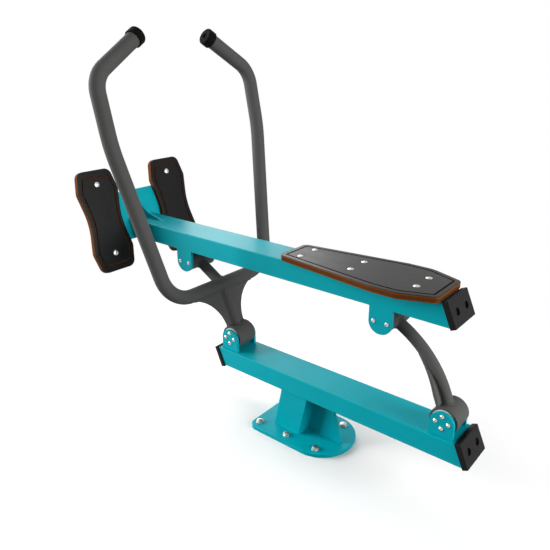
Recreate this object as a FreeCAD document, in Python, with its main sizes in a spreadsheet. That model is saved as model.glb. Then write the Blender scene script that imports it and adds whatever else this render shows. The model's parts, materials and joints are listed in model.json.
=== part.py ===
import FreeCAD, Part
import math
import os
import Sketcher
from FreeCAD import Placement, Rotation, Vector
from types import SimpleNamespace

# Outdoor rowing machine: a seat frame that swings on two equal links over a fixed base beam,
# pulled by a bent handlebar that carries the front link.
# Millimetres, +Z up, +X towards the seat's back end, Y across. The origin is the centre of the
# ground-anchor pattern on the underside of the base plate.

# Driving dimensions: lengths in millimetres, angles in degrees
SIZES = {
    # base plate and ground anchors
    "plate_thickness": 10,
    "plate_front_edge": 21,
    "plate_rear_edge": 67,
    "plate_side_edge": 29,
    "plate_corner_radius": 26,
    "plate_end_radius": 95,
    "anchor_pitch": 100,
    "anchor_spread": 140,
    "anchor_hole": 13,
    "washer_diameter": 22.5,
    "washer_bore": 13.5,
    "washer_thickness": 2,
    "nut_across_corners": 20.8,
    "nut_height": 4.5,
    "nut_dome": 17.6,
    "nut_dome_height": 2.6,
    "nut_bore": 12.4,
    "nut_bore_depth": 4.5,
    # pedestal under the base beam
    "post_width": 90,
    "post_wall": 5,
    "post_corner_radius": 3,
    "post_lean": 11.6,
    "post_foot": -20,
    "gusset_thickness": 10,
    "gusset_foot": 140,
    "gusset_head": 103,
    # the two beams, of one rectangular tube, and their end caps
    "beam_width": 100,
    "beam_height": 55,
    "beam_wall": 4,
    "beam_corner_radius": 2.5,
    "end_slant": 24,
    "base_beam_rise": 135,
    "base_beam_overhang": 40.2,
    "seat_beam_overhang": 146.8,
    "cap_thickness": 14.5,
    "cap_overhang": 3,
    "cap_round": 2.5,
    "cap_plug_length": 26,
    "cap_plug_gap": 0.3,
    "cap_dimple": 18,
    "cap_dimple_depth": 5,
    "cap_dimple_spread": 48,
    # pivots
    "front_pivot": -241,
    "pivot_spacing": 674,
    "link_length": 270,
    "link_lean": 39.7,
    "swing_range": 35,
    "ear_thickness": 8,
    "edge_round": 1,
    "running_gap": 0.5,
    "running_fit": 0.05,
    "lower_hub_clearance": 3,
    "lower_ear_width": 60.4,
    "lower_ear_reach": 26.6,
    "lower_ear_inset": 8,
    "lower_axle_diameter": 45,
    "lower_bush_wall": 6.5,
    "lower_bush_length": 14,
    "lower_hub_wall": 6,
    "lower_screw_edge": 6.5,
    "upper_hub_clearance": 5.65,
    "upper_ear_width": 63,
    "upper_ear_reach": 31.5,
    "upper_axle_diameter": 48,
    "upper_bush_wall": 2.5,
    "upper_bush_length": 20,
    "upper_hub_wall": 3.65,
    "upper_screw_edge": 6,
    "axle_screw": 6,
    "axle_screw_depth": 18,
    "axle_screw_head": 11,
    "axle_screw_head_height": 3.3,
    "screw_gap": 0.15,
    "screw_tip_gap": 1,
    # end stops inside the front lower hub
    "stop_side_gap": 4.5,
    "stop_key_angle": 30,
    "stop_key_gap": 0.6,
    "stop_gap_angle": 1,
    "buffer_angle": 8,
    # handlebar lever
    "stem_diameter": 32,
    "stem_wall": 3.5,
    "stem_length": 161.3,
    "stem_lean": 24.5,
    "web_thickness": 8,
    "web_waist": 33,
    "web_overlap": 29,
    "web_tip": 1.5,
    "handle_diameter": 41,
    "handle_wall": 3,
    "handle_lean": 12.2,
    "elbow_spread": 402.8,
    "elbow_radius": 95,
    "knee_spread": 558.8,
    "knee_rise": 441,
    "knee_radius": 420,
    "shoulder_spread": 564.4,
    "shoulder_rise": 613,
    "shoulder_radius": 72,
    "grip_end_spread": 250.6,
    "grip_end_rise": 712,
    "grip_cap_diameter": 49,
    "grip_cap_length": 24,
    "grip_cap_end": 6,
    "grip_cap_round": 5,
    "grip_cap_dimple": 15,
    "grip_cap_dimple_depth": 3,
    # curved rear link
    "arm_diameter": 30,
    "arm_wall": 4,
    "arm_bulge": 34.5,
    "fin_thickness": 8,
    "fin_spread": 66,
    "fin_straight": 65,
    "fin_length": 165,
    "fin_tip_spread": 20,
    "fin_setback": 10,
    # footrest
    "foot_reach": 262,
    "foot_rise": 9.8,
    "foot_tilt": 16.5,
    "foot_spread": 279,
    "foot_plate_thickness": 8,
    "foot_plate_width": 98,
    "foot_plate_inset": 19,
    "foot_plate_round": 30,
    "cross_plate_height": 155,
    "rib_thickness": 8,
    "rib_length": 113,
    "rib_height": 74,
    "rib_hollow_along": 77,
    "rib_hollow_up": 18,
    "rib_hollow_radius": 90,
    # two-colour boards of the seat and the foot pads
    "board_thickness": 15.5,
    "board_edge_round": 2,
    "groove_inset": 12.5,
    "groove_width": 4.5,
    "groove_depth": 3.5,
    "foot_pad_length": 316,
    "foot_pad_end_width": 115,
    "foot_pad_lobe_width": 144,
    "foot_pad_lobe_rise": 93,
    "foot_pad_waist_width": 110,
    "foot_pad_corner_radius": 24,
    "foot_pad_lobe_radius": 30,
    "foot_pad_waist_radius": 230,
    "foot_groove_end": 6.5,
    "foot_screw_edge": 30.75,
    "foot_screw_shift": 5,
    "seat_setback": 4.8,
    "seat_length": 441.5,
    "seat_front_width": 112,
    "seat_taper_length": 84,
    "seat_wide_length": 67,
    "seat_wide": 190,
    "seat_rear_width": 124,
    "seat_corner_radius": 16,
    "seat_shoulder_radius": 70,
    "seat_screw_front": 50.5,
    "seat_screw_rear": 66.5,
    "seat_screw_shift": 11,
    "seat_screw_edge": 18.5,
    "board_screw": 8,
    "board_screw_head": 16.5,
    "board_screw_head_height": 2.6,
    "board_screw_reach": 9,
    "board_nut_across_corners": 14.4,
    "board_nut_height": 6.5,
}

# Room beyond a face for a cut that has to pass through it
CUT_MARGIN = 5
# Share of half its width that the rounding of a plate's end takes up
TIP_ROUNDNESS = 0.995
# How far a square corner stays back from a rounded one around it, in its radii
CORNER_ROOM = 0.3
# How far below the cross tube's centre line the web's straight top edge runs, in tube diameters
WEB_SEAT = 0.35
# Depth of the block that trims a fin, in bulges of the arm
TRIM_DEPTH = 4
LOWER_SCREWS = 4
UPPER_SCREWS = 2
ACROSS = Rotation(Vector(1, 0, 0), -90)
UPRIGHT = Rotation()
SIDES = {"left": 1, "right": -1}


class Size(float):
    """A number that remembers the sheet expression it comes from."""

    def __new__(cls, value, text=None):
        size = super().__new__(cls, value)
        size.text = text or repr(float(value))
        return size

    def __add__(self, other):
        return Size(float(self) + float(other), f"({self.text} + {text_of(other)})")

    def __sub__(self, other):
        return Size(float(self) - float(other), f"({self.text} - {text_of(other)})")

    def __rsub__(self, other):
        return Size(float(other) - float(self), f"({text_of(other)} - {self.text})")

    def __mul__(self, other):
        return Size(float(self) * float(other), f"({self.text} * {text_of(other)})")

    def __truediv__(self, other):
        return Size(float(self) / float(other), f"({self.text} / {text_of(other)})")

    def __neg__(self):
        return Size(-float(self), f"(-{self.text})")

    __radd__ = __add__
    __rmul__ = __mul__


def text_of(value):
    """The expression text of a size or of a plain number."""
    return value.text if isinstance(value, Size) else repr(float(value))


def sine(angle):
    return Size(math.sin(math.radians(angle)), f"sin({text_of(angle)})")


def cosine(angle):
    return Size(math.cos(math.radians(angle)), f"cos({text_of(angle)})")


def tangent(angle):
    return Size(math.tan(math.radians(angle)), f"tan({text_of(angle)})")


def arc_sine(ratio):
    return Size(math.degrees(math.asin(ratio)), f"asin({text_of(ratio)})")


def hypotenuse(first, second):
    total = first * first + second * second
    return Size(math.sqrt(total), f"sqrt({text_of(total)})")


doc = FreeCAD.newDocument("rowing_machine")
sheet = doc.addObject("Spreadsheet::Sheet", "Sizes")
for row, (alias, number) in enumerate(SIZES.items(), start=1):
    sheet.set(f"A{row}", alias)
    sheet.set(f"B{row}", str(number))
    sheet.setAlias(f"B{row}", alias)
doc.recompute()
size = SimpleNamespace(**{alias: Size(sheet.get(alias), f"Sizes.{alias}") for alias in SIZES})
nodes = []


# Drawing and feature helpers

def bind(thing, prop, value):
    """Ties a property to the sheet."""
    thing.setExpression(prop, text_of(value))


def place(thing, x=0, y=0, z=0, rotation=UPRIGHT):
    """Puts an object at a place worked out from the sheet, turned by a rotation."""
    thing.Placement = Placement(Vector(x, y, z), rotation)
    for axis, value in zip("xyz", (x, y, z)):
        bind(thing, f"Placement.Base.{axis}", value)
    return thing


def node(thing, label):
    """Hands an object in as a named piece of the machine."""
    thing.Label = label
    nodes.append(thing)
    return thing


def turned(angle):
    """Rotation about the Y axis that leans +Z towards +X by an angle."""
    return Rotation(Vector(0, 1, 0), float(angle))


def cylinder(name, radius, length, x, y, z, rotation=UPRIGHT, sweep=360):
    thing = doc.addObject("Part::Cylinder", name)
    bind(thing, "Radius", radius)
    bind(thing, "Height", length)
    bind(thing, "Angle", sweep)
    return place(thing, x, y, z, rotation)


def across_rod(name, radius, length, x, z, y=0):
    """A round bar along Y, centred on y."""
    return cylinder(name, radius, length, x, y - length / 2, z, ACROSS)


def compound(name, things):
    group = doc.addObject("Part::Compound", name)
    group.Links = things
    return group


def cut(name, base, *tools):
    """Takes one or more objects away from a base."""
    thing = doc.addObject("Part::Cut", name)
    thing.Base = base
    thing.Tool = tools[0] if len(tools) == 1 else fuse(f"{name}_tools", *tools)
    return thing


def drilled(name, base, holes):
    """Takes a group of holes that don't meet away from a base."""
    thing = doc.addObject("Part::Cut", name)
    thing.Base = base
    thing.Tool = compound(f"{name}_holes", holes)
    return thing


def fuse(name, *things):
    thing = doc.addObject("Part::MultiFuse", name)
    thing.Shapes = list(things)
    return thing


def across_tube(name, outer, bore, length, x, z, y=0):
    """A round tube along Y, centred on y."""
    shell = across_rod(f"{name}_outside", outer / 2, length, x, z, y)
    hollow = across_rod(f"{name}_bore", bore / 2, length + 2 * CUT_MARGIN, x, z, y)
    return cut(name, shell, hollow)


def new_body(name):
    return doc.addObject("PartDesign::Body", name)


def new_sketch(body, role, name, lift=0):
    """A sketch on one of the body's own planes, lifted along that plane's normal."""
    sketch = body.newObject("Sketcher::SketchObject", f"{body.Name}_{name}")
    plane = [datum for datum in body.Origin.OriginFeatures if datum.Role == role][0]
    sketch.AttachmentSupport = (plane, [""])
    sketch.MapMode = "FlatFace"
    bind(sketch, "AttachmentOffset.Base.z", lift)
    return sketch


def hold(sketch, kind, geometry, point, value):
    """Ties a point's distance from the sketch's origin to the sheet."""
    index = sketch.addConstraint(Sketcher.Constraint(kind, -1, 1, geometry, point, float(value)))
    sketch.setExpression(f"Constraints[{index}]", text_of(value))


def hold_radius(sketch, geometry, value):
    index = sketch.addConstraint(Sketcher.Constraint("Radius", geometry, float(value)))
    sketch.setExpression(f"Constraints[{index}]", text_of(value))


def draw_circle(sketch, x, y, radius):
    circle = Part.Circle(Vector(x, y, 0), Vector(0, 0, 1), float(radius))
    index = sketch.addGeometry(circle)
    hold(sketch, "DistanceX", index, 3, x)
    hold(sketch, "DistanceY", index, 3, y)
    hold_radius(sketch, index, radius)


def rounding(before, corner, after, radius):
    """Where an arc of a radius leaves the two lines of a corner, its centre and its turn."""
    back = (before - corner).normalize()
    ahead = (after - corner).normalize()
    half = math.acos(max(-1.0, min(1.0, back.dot(ahead)))) / 2
    middle = (back + ahead).normalize()
    reach = radius / math.tan(half)
    turn = back.cross(ahead).z
    centre = corner + middle * (radius / math.sin(half))
    return corner + back * reach, corner + ahead * reach, centre, turn


def draw_path(sketch, corners, closed=True):
    """Straight lines through corners (x, y, radius), each corner rounded by its own radius."""
    count = len(corners)
    spots = [Vector(float(x), float(y), 0) for x, y, _ in corners]
    bends = {}
    for index, (_, _, radius) in enumerate(corners):
        inside = closed or 0 < index < count - 1
        if inside and radius > 0:
            before, after = spots[index - 1], spots[(index + 1) % count]
            bends[index] = rounding(before, spots[index], after, float(radius))
    lines = []
    for index in range(count if closed else count - 1):
        following = (index + 1) % count
        start = bends[index][1] if index in bends else spots[index]
        end = bends[following][0] if following in bends else spots[following]
        lines.append(sketch.addGeometry(Part.LineSegment(start, end)))
    for index, (x, y, radius) in enumerate(corners):
        ahead = lines[index] if index < len(lines) else None
        back = lines[index - 1] if closed or index > 0 else None
        if index in bends:
            hold_bend(sketch, bends[index], back, ahead, spots[index], x, y, radius)
            continue
        if back is not None and ahead is not None:
            sketch.addConstraint(Sketcher.Constraint("Coincident", back, 2, ahead, 1))
        line, point = (ahead, 1) if ahead is not None else (back, 2)
        hold(sketch, "DistanceX", line, point, x)
        hold(sketch, "DistanceY", line, point, y)


def hold_bend(sketch, bend, back, ahead, spot, x, y, radius):
    """Rounds the corner between two lines, with the corner itself kept as a guide point."""
    first, last, centre, turn = bend
    circle = Part.Circle(centre, Vector(0, 0, 1), float(radius))
    begin, finish = (last, first) if turn > 0 else (first, last)
    angles = [math.atan2(end.y - centre.y, end.x - centre.x) for end in (begin, finish)]
    arc = sketch.addGeometry(Part.ArcOfCircle(circle, *angles))
    entry, leave = (2, 1) if turn > 0 else (1, 2)
    guide = sketch.addGeometry(Part.Point(spot), True)
    sketch.addConstraint([
        Sketcher.Constraint("Tangent", back, 2, arc, entry),
        Sketcher.Constraint("Tangent", arc, leave, ahead, 1),
        Sketcher.Constraint("PointOnObject", guide, 1, back),
        Sketcher.Constraint("PointOnObject", guide, 1, ahead),
    ])
    hold_radius(sketch, arc, radius)
    hold(sketch, "DistanceX", guide, 1, x)
    hold(sketch, "DistanceY", guide, 1, y)


def pad(body, sketch, length, symmetric=False, backwards=False):
    feature = body.newObject("PartDesign::Pad", f"{sketch.Name}_pad")
    feature.Profile = sketch
    bind(feature, "Length", length)
    feature.SideType = "Symmetric" if symmetric else "One side"
    feature.Reversed = backwards
    return feature


def pocket(body, sketch, length, symmetric=False):
    feature = body.newObject("PartDesign::Pocket", f"{sketch.Name}_pocket")
    feature.Profile = sketch
    bind(feature, "Length", length)
    feature.SideType = "Symmetric" if symmetric else "One side"
    return feature


def round_edges(body, base, radius, wanted):
    """Rounds the edges of a feature that pass a test."""
    doc.recompute()
    names = [f"Edge{i}" for i, edge in enumerate(base.Shape.Edges, start=1) if wanted(edge)]
    feature = body.newObject("PartDesign::Fillet", f"{base.Name}_round")
    feature.Base = (base, names)
    bind(feature, "Radius", radius)
    return feature


def lies_at(axis, value):
    """A test for edges that lie in one plane across an axis."""
    low, high = f"{axis}Min", f"{axis}Max"

    def test(edge):
        box = edge.BoundBox
        return max(abs(getattr(box, low) - value), abs(getattr(box, high) - value)) < 0.01
    return test


def flat_plate(name, role, corners, thickness, edge_round=None):
    """A plate of an outline, its middle on one of the body's planes, with its edges broken."""
    body = new_body(name)
    sketch = new_sketch(body, role, "outline")
    draw_path(sketch, corners)
    slab = pad(body, sketch, thickness, symmetric=True)
    if edge_round is not None:
        axis = {"XZ_Plane": "Y", "YZ_Plane": "X", "XY_Plane": "Z"}[role]
        front, back = lies_at(axis, thickness / 2), lies_at(axis, -thickness / 2)
        round_edges(body, slab, edge_round, lambda edge: front(edge) or back(edge))
    return body


def rectangle(left, bottom, right, top, radius=0):
    return [(left, bottom, radius), (right, bottom, radius), (right, top, radius), (left, top, radius)]


def mirrored(corners):
    """Completes half an outline, given with x above zero, by its mirror image."""
    return corners + [(-x, y, radius) for x, y, radius in reversed(corners)]


def inset(corners, distance):
    """An outline drawn a distance inside another, with its rounding drawn in to match."""
    spots = [Vector(float(x), float(y), 0) for x, y, _ in corners]
    area = sum(a.cross(b).z for a, b in zip(spots, spots[1:] + spots[:1]))
    inward = 1 if area > 0 else -1
    result = []
    for index, (_, _, radius) in enumerate(corners):
        before, spot, after = spots[index - 1], spots[index], spots[(index + 1) % len(spots)]
        into, out = (spot - before).normalize(), (after - spot).normalize()
        first = Vector(-into.y, into.x, 0) * inward
        second = Vector(-out.y, out.x, 0) * inward
        moved = spot + (first + second) * (float(distance) / (1 + first.dot(second)))
        convex = into.cross(out).z * inward > 0
        change = -float(distance) if convex else float(distance)
        result.append((moved.x, moved.y, max(float(radius) + change, 1.0)))
    return result


def dome(name, base_radius, height, x, y, z, rotation=UPRIGHT):
    """A shallow dome that stands on a round base."""
    ball = (base_radius * base_radius + height * height) / (2 * height)
    rim = arc_sine((ball - height) / ball)
    cap = doc.addObject("Part::Sphere", name)
    bind(cap, "Radius", ball)
    bind(cap, "Angle1", rim)
    sink = rotation.multVec(Vector(0, 0, 1))
    depth = ball - height
    return place(cap, x - depth * sink.x, y - depth * sink.y, z - depth * sink.z, rotation)


def screw(name, head, head_height, shank, reach, x, y, z, rotation=UPRIGHT):
    """A domed screw: its head stands on a face, its shank goes into it."""
    top = dome(f"{name}_head", head / 2, head_height, x, y, z, rotation)
    into = rotation.multiply(Rotation(Vector(1, 0, 0), 180))
    stem = cylinder(f"{name}_shank", shank / 2, reach, x, y, z, into)
    return fuse(name, top, stem)


def sector(name, outer, inner, length, x, z, start, sweep):
    """Part of a ring about a line along Y, from one angle over another."""
    rotation = turned(start).multiply(ACROSS)
    blank = cylinder(f"{name}_blank", outer, length, x, -length / 2, z, rotation, sweep)
    core = across_rod(f"{name}_core", inner, length + 2 * CUT_MARGIN, x, z)
    return cut(name, blank, core)


# Places that several pieces share

lower_hub_bore = size.lower_axle_diameter + 2 * size.lower_bush_wall
lower_hub_diameter = lower_hub_bore + 2 * size.lower_hub_wall
lower_pivot_rise = lower_hub_diameter / 2 + size.lower_hub_clearance
lower_ear_spread = size.beam_width - 2 * size.lower_ear_inset
lower_gap = lower_ear_spread - 2 * size.ear_thickness
lower_hub_length = lower_gap - 2 * size.running_gap
upper_hub_bore = size.upper_axle_diameter + 2 * size.upper_bush_wall
upper_hub_diameter = upper_hub_bore + 2 * size.upper_hub_wall
upper_pivot_drop = upper_hub_diameter / 2 + size.upper_hub_clearance
upper_ear_spread = size.beam_width
upper_gap = upper_ear_spread - 2 * size.ear_thickness
upper_hub_length = upper_gap - 2 * size.running_gap

base_beam_top = size.base_beam_rise + size.beam_height
lower_pivot_z = base_beam_top + lower_pivot_rise
link_shift = -size.link_length * sine(size.link_lean)
link_rise = size.link_length * cosine(size.link_lean)
upper_pivot_z = lower_pivot_z + link_rise
seat_beam_low = upper_pivot_z + upper_pivot_drop
seat_beam_top = seat_beam_low + size.beam_height
lower_pivots = {"front": size.front_pivot, "rear": size.front_pivot + size.pivot_spacing}
upper_pivots = {end: x + link_shift for end, x in lower_pivots.items()}
base_beam_front = lower_pivots["front"] - size.base_beam_overhang
base_beam_rear = lower_pivots["rear"] + size.base_beam_overhang
seat_beam_rear = upper_pivots["rear"] + size.seat_beam_overhang
stop_length = lower_hub_length - 2 * (size.lower_bush_length + size.stop_side_gap)
cross_x = size.front_pivot - size.stem_length * sine(size.stem_lean)
cross_z = lower_pivot_z + size.stem_length * cosine(size.stem_lean)

foot_x = upper_pivots["front"] - size.foot_reach
foot_z = seat_beam_top + size.foot_rise
foot_turn = turned(-size.foot_tilt)
foot_out = foot_turn.multiply(Rotation(Vector(0, 1, 0), 90))
seat_beam_front = foot_x + size.foot_rise * tangent(size.foot_tilt)
foot_plate_length = size.foot_pad_length - 2 * size.foot_plate_inset
foot_screw_reach = foot_plate_length / 2 - size.foot_screw_edge
foot_screw_rises = [size.foot_screw_shift + foot_screw_reach, size.foot_screw_shift - foot_screw_reach]
seat_front = seat_beam_rear - size.seat_setback - size.seat_length
seat_screw_first = seat_front + size.seat_screw_front
seat_screw_last = seat_front + size.seat_length - size.seat_screw_rear
seat_screw_middle = (seat_screw_first + seat_screw_last) / 2 - size.seat_screw_shift
seat_screw_spread = size.beam_width - 2 * size.seat_screw_edge


def on_footrest(out, across, up):
    """A place given by its distance out of the footrest's plane, across it and up it."""
    x = foot_x + out * cosine(size.foot_tilt) - up * sine(size.foot_tilt)
    z = foot_z + out * sine(size.foot_tilt) + up * cosine(size.foot_tilt)
    return x, across, z


# Base: plate, ground anchors, pedestal and beam

def make_base_plate():
    """D-shaped plate with a square front and a half-round back end."""
    body = new_body("base_plate_blank")
    sketch = new_sketch(body, "XY_Plane", "outline")
    half = size.anchor_spread / 2 + size.plate_side_edge
    front, rear = -size.anchor_pitch - size.plate_front_edge, size.anchor_pitch + size.plate_rear_edge
    corner, end = size.plate_corner_radius, min(size.plate_end_radius, half * TIP_ROUNDNESS)
    draw_path(sketch, [
        (front, -half, corner), (rear, -half, end), (rear, half, end), (front, half, corner),
    ])
    slab = pad(body, sketch, size.plate_thickness)
    round_edges(body, slab, size.edge_round, lies_at("Z", size.plate_thickness))
    depth = size.plate_thickness + 2 * CUT_MARGIN
    holes = [
        cylinder(f"anchor_hole_{i}", size.anchor_hole / 2, depth, x, y, -CUT_MARGIN)
        for i, (x, y) in enumerate(anchor_places())
    ]
    return drilled("base_plate", body, holes)


def anchor_places():
    """Two rows of three anchors."""
    return [
        (size.anchor_pitch * column, size.anchor_spread / 2 * side)
        for side in (1, -1) for column in (-1, 0, 1)
    ]


def make_anchor_washers():
    washers = []
    for i, (x, y) in enumerate(anchor_places()):
        disc = cylinder(
            f"washer_disc_{i}", size.washer_diameter / 2, size.washer_thickness,
            x, y, size.plate_thickness)
        bore = cylinder(
            f"washer_bore_{i}", size.washer_bore / 2, size.washer_thickness + 2 * CUT_MARGIN,
            x, y, size.plate_thickness - CUT_MARGIN)
        washers.append(cut(f"washer_{i}", disc, bore))
    return compound("anchor_washers", washers)


def make_anchor_nuts():
    """Low domed cap nuts, each with a blind bore open to the anchor below."""
    seat = size.plate_thickness + size.washer_thickness
    nuts = []
    for i, (x, y) in enumerate(anchor_places()):
        hexagon = doc.addObject("Part::Prism", f"nut_hexagon_{i}")
        hexagon.Polygon = 6
        bind(hexagon, "Circumradius", size.nut_across_corners / 2)
        bind(hexagon, "Height", size.nut_height)
        place(hexagon, x, y, seat)
        top = dome(f"nut_dome_{i}", size.nut_dome / 2, size.nut_dome_height, x, y, seat + size.nut_height)
        bore = cylinder(
            f"nut_bore_{i}", size.nut_bore / 2, size.nut_bore_depth + CUT_MARGIN,
            x, y, seat - CUT_MARGIN)
        nuts.append(cut(f"nut_{i}", fuse(f"nut_blank_{i}", hexagon, top), bore))
    return compound("anchor_nuts", nuts)


def make_post():
    """Square tube that leans back from the plate to the beam, cut level at both ends."""
    body = new_body("pedestal_post")
    sketch = new_sketch(body, "XY_Plane", "section")
    length = size.post_width / cosine(size.post_lean)
    wall = size.post_wall / cosine(size.post_lean)
    deep, radius = size.post_width / 2, size.post_corner_radius
    draw_path(sketch, rectangle(-length / 2, -deep, length / 2, deep, radius))
    inner = rectangle(
        wall - length / 2, size.post_wall - deep, length / 2 - wall, deep - size.post_wall,
        radius - size.post_wall / 2)
    draw_path(sketch, inner)
    column = pad(body, sketch, size.base_beam_rise - size.plate_thickness)
    column.UseCustomVector = True
    column.Direction = Vector(tangent(size.post_lean), 0, 1)
    bind(column, "Direction.x", tangent(size.post_lean))
    return place(body, size.post_foot, 0, size.plate_thickness)


def make_gusset():
    """Upright plate behind the post, from the base plate to the beam."""
    post_back = size.post_foot + size.post_width / cosine(size.post_lean) / 2
    height = size.base_beam_rise - size.plate_thickness
    post_back_top = post_back + height * tangent(size.post_lean)
    return place(flat_plate("pedestal_gusset", "XZ_Plane", [
        (post_back, 0, 0), (size.gusset_foot, 0, 0),
        (size.gusset_head, height, 0), (post_back_top, height, 0),
    ], size.gusset_thickness), 0, 0, size.plate_thickness)


def make_beam(name, front, rear, low, front_slant):
    """Rectangular tube along X, with both ends cut on the slant: top edge from front to rear."""
    body = new_body(name)
    half, height, wall = size.beam_width / 2, size.beam_height, size.beam_wall
    front_run = height * tangent(front_slant)
    rear_run = height * tangent(size.end_slant)
    length = rear - front + rear_run
    section = new_sketch(body, "YZ_Plane", "section")
    draw_path(section, rectangle(-half, 0, half, height, size.beam_corner_radius))
    hollow = rectangle(
        wall - half, wall, half - wall, height - wall, size.beam_corner_radius - wall / 2)
    draw_path(section, hollow)
    pad(body, section, length)
    front_over = CUT_MARGIN * tangent(front_slant)
    rear_over = CUT_MARGIN * tangent(size.end_slant)
    top, bottom = height + CUT_MARGIN, Size(-CUT_MARGIN)
    ends = new_sketch(body, "XZ_Plane", "ends")
    draw_path(ends, [
        (front_run + front_over, bottom, 0), (-front_over, top, 0),
        (-front_over - 2 * CUT_MARGIN, top, 0), (-front_over - 2 * CUT_MARGIN, bottom, 0),
    ])
    draw_path(ends, [
        (length + rear_over, bottom, 0), (length - rear_run - rear_over, top, 0),
        (length + rear_over + CUT_MARGIN, top, 0), (length + rear_over + CUT_MARGIN, bottom, 0),
    ])
    pocket(body, ends, size.beam_width + 2 * CUT_MARGIN, symmetric=True)
    return place(body, front, 0, low)


def make_beam_cap(name, x, z, rotation):
    """Plastic block over a slanted beam end, with a plug inside the tube and two dimples."""
    slant = size.end_slant
    body = new_body(f"{name}_blank")
    reach = size.beam_height / cosine(slant) / 2 + size.cap_overhang
    run, rise = reach * sine(slant), reach * cosine(slant)
    out, up = size.cap_thickness * cosine(slant), size.cap_thickness * sine(slant)
    side = new_sketch(body, "XZ_Plane", "block")
    draw_path(side, [
        (run, -rise, 0), (run + out, up - rise, 0), (out - run, rise + up, 0), (-run, rise, 0),
    ])
    block = pad(body, side, size.beam_width + 2 * size.cap_overhang, symmetric=True)
    inner = size.cap_thickness / 2

    def outer(edge):
        middle = edge.CenterOfMass
        return middle.x * float(cosine(slant)) + middle.z * float(sine(slant)) > inner / 2
    round_edges(body, block, size.cap_round, outer)
    plug = new_sketch(body, "XZ_Plane", "plug")
    gap = size.cap_plug_gap + (size.beam_corner_radius - size.beam_wall / 2) * CORNER_ROOM
    deep = size.beam_height / 2 - size.beam_wall - gap
    lean = deep * tangent(slant)
    draw_path(plug, [
        (lean, -deep, 0), (-lean, deep, 0),
        (-lean - size.cap_plug_length, deep, 0), (lean - size.cap_plug_length, -deep, 0),
    ])
    pad(body, plug, size.beam_width - 2 * (size.beam_wall + gap), symmetric=True)
    floor = size.cap_thickness - size.cap_dimple_depth
    dimples = [
        cylinder(
            f"{name}_dimple_{label}", size.cap_dimple / 2, size.cap_dimple_depth + CUT_MARGIN,
            floor * cosine(slant), way * size.cap_dimple_spread / 2, floor * sine(slant),
            turned(90 - slant))
        for label, way in SIDES.items()
    ]
    return place(drilled(name, body, dimples), x, 0, z, rotation)


# Pivots: ears, axles and the screws that clamp them

def ear_corners(width, foot, reach):
    """An ear seen from the side: straight from its foot, with a round tip that reaches past the pivot."""
    half = width / 2
    tip = reach if foot < 0 else -reach
    round_tip = half * TIP_ROUNDNESS
    return [(-half, foot, 0), (half, foot, 0), (half, tip, round_tip), (-half, tip, round_tip)]


def screw_angles(count):
    return [360 / count * index for index in range(count)]


def make_pivot(end, level, x, z, foot, width, ear_reach, spread, axle_diameter, edge, count):
    """A pair of ears with an axle clamped between them by screws from both sides."""
    name = f"{end}_{level}"
    circle = axle_diameter / 2 - edge
    spots = [(x + circle * cosine(angle), z + circle * sine(angle)) for angle in screw_angles(count)]
    gap = spread - 2 * size.ear_thickness
    hole = size.axle_screw / 2 + size.screw_gap
    reach = size.ear_thickness + size.axle_screw_depth
    through = size.ear_thickness + 2 * CUT_MARGIN
    depth = size.axle_screw_depth + size.screw_tip_gap
    screws, axle_holes = [], []
    for side, way in SIDES.items():
        middle = way * (spread - size.ear_thickness) / 2
        blank = place(
            flat_plate(f"{name}_ear_{side}_blank", "XZ_Plane", ear_corners(width, foot, ear_reach),
                       size.ear_thickness, size.edge_round), x, middle, z)
        holes = [
            across_rod(f"{name}_ear_{side}_hole_{i}", hole, through, sx, sz, middle)
            for i, (sx, sz) in enumerate(spots)
        ]
        node(drilled(f"{name}_ear_{side}", blank, holes), f"{name}_ear_{side}")
        facing = Rotation(Vector(1, 0, 0), -90 * way)
        for i, (sx, sz) in enumerate(spots):
            screws.append(screw(
                f"{name}_screw_{side}_{i}", size.axle_screw_head, size.axle_screw_head_height,
                size.axle_screw, reach, sx, way * spread / 2, sz, facing))
            axle_holes.append(across_rod(
                f"{name}_axle_hole_{side}_{i}", hole, 2 * depth, sx, sz, way * gap / 2))
    axle = across_rod(f"{name}_axle_blank", axle_diameter / 2, gap, x, z)
    node(drilled(f"{name}_axle", axle, axle_holes), f"{name}_axle")
    node(compound(f"{name}_axle_screws", screws), f"{name}_axle_screws")


def make_bushes(name, x, z, bore, axle, hub_length, length):
    """A pair of sleeve bearings at the ends of a hub."""
    middle = (hub_length - length) / 2
    rings = [
        across_tube(f"{name}_{side}", bore, axle + 2 * size.running_fit, length, x, z, way * middle)
        for side, way in SIDES.items()
    ]
    return compound(name, rings)


# Lever: the hubs, stems, webs and the bent handlebar

def make_stem(name, start, finish, *neighbours):
    """Straight tube between two points in the mid plane, fitted to what it meets."""
    across, up = finish[0] - start[0], finish[1] - start[1]
    length = hypotenuse(across, up)
    rotation = turned(math.degrees(math.atan2(across, up)))
    radius = size.stem_diameter / 2
    outer = cylinder(f"{name}_outside", radius, length, start[0], 0, start[1], rotation)
    bore = cylinder(
        f"{name}_bore", radius - size.stem_wall, length, start[0], 0, start[1], rotation)
    return cut(name, outer, bore, *neighbours), outer


def make_web(side, way, stem, hub, handle):
    """Flat web beside the lower stem, from the hub out along the cross tube."""
    name = f"lever_web_{side}"
    top = size.stem_length - size.handle_diameter * WEB_SEAT
    along = (size.knee_spread - size.elbow_spread) / 2
    bend = size.elbow_radius * size.knee_rise / (hypotenuse(along, size.knee_rise) + along)
    reach = size.elbow_spread / 2 - bend + size.web_overlap
    radius = reach - size.web_waist - size.web_tip
    inner, outer = way * size.web_waist, way * reach
    blank = place(flat_plate(f"{name}_blank", "YZ_Plane", [
        (0, 0, 0), (inner, 0, 0), (inner, top, radius), (outer, top, 0),
        (outer, size.stem_length, 0), (0, size.stem_length, 0),
    ], size.web_thickness), size.front_pivot, 0, lower_pivot_z, turned(-size.stem_lean))
    return cut(name, blank, stem, hub, handle)


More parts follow.
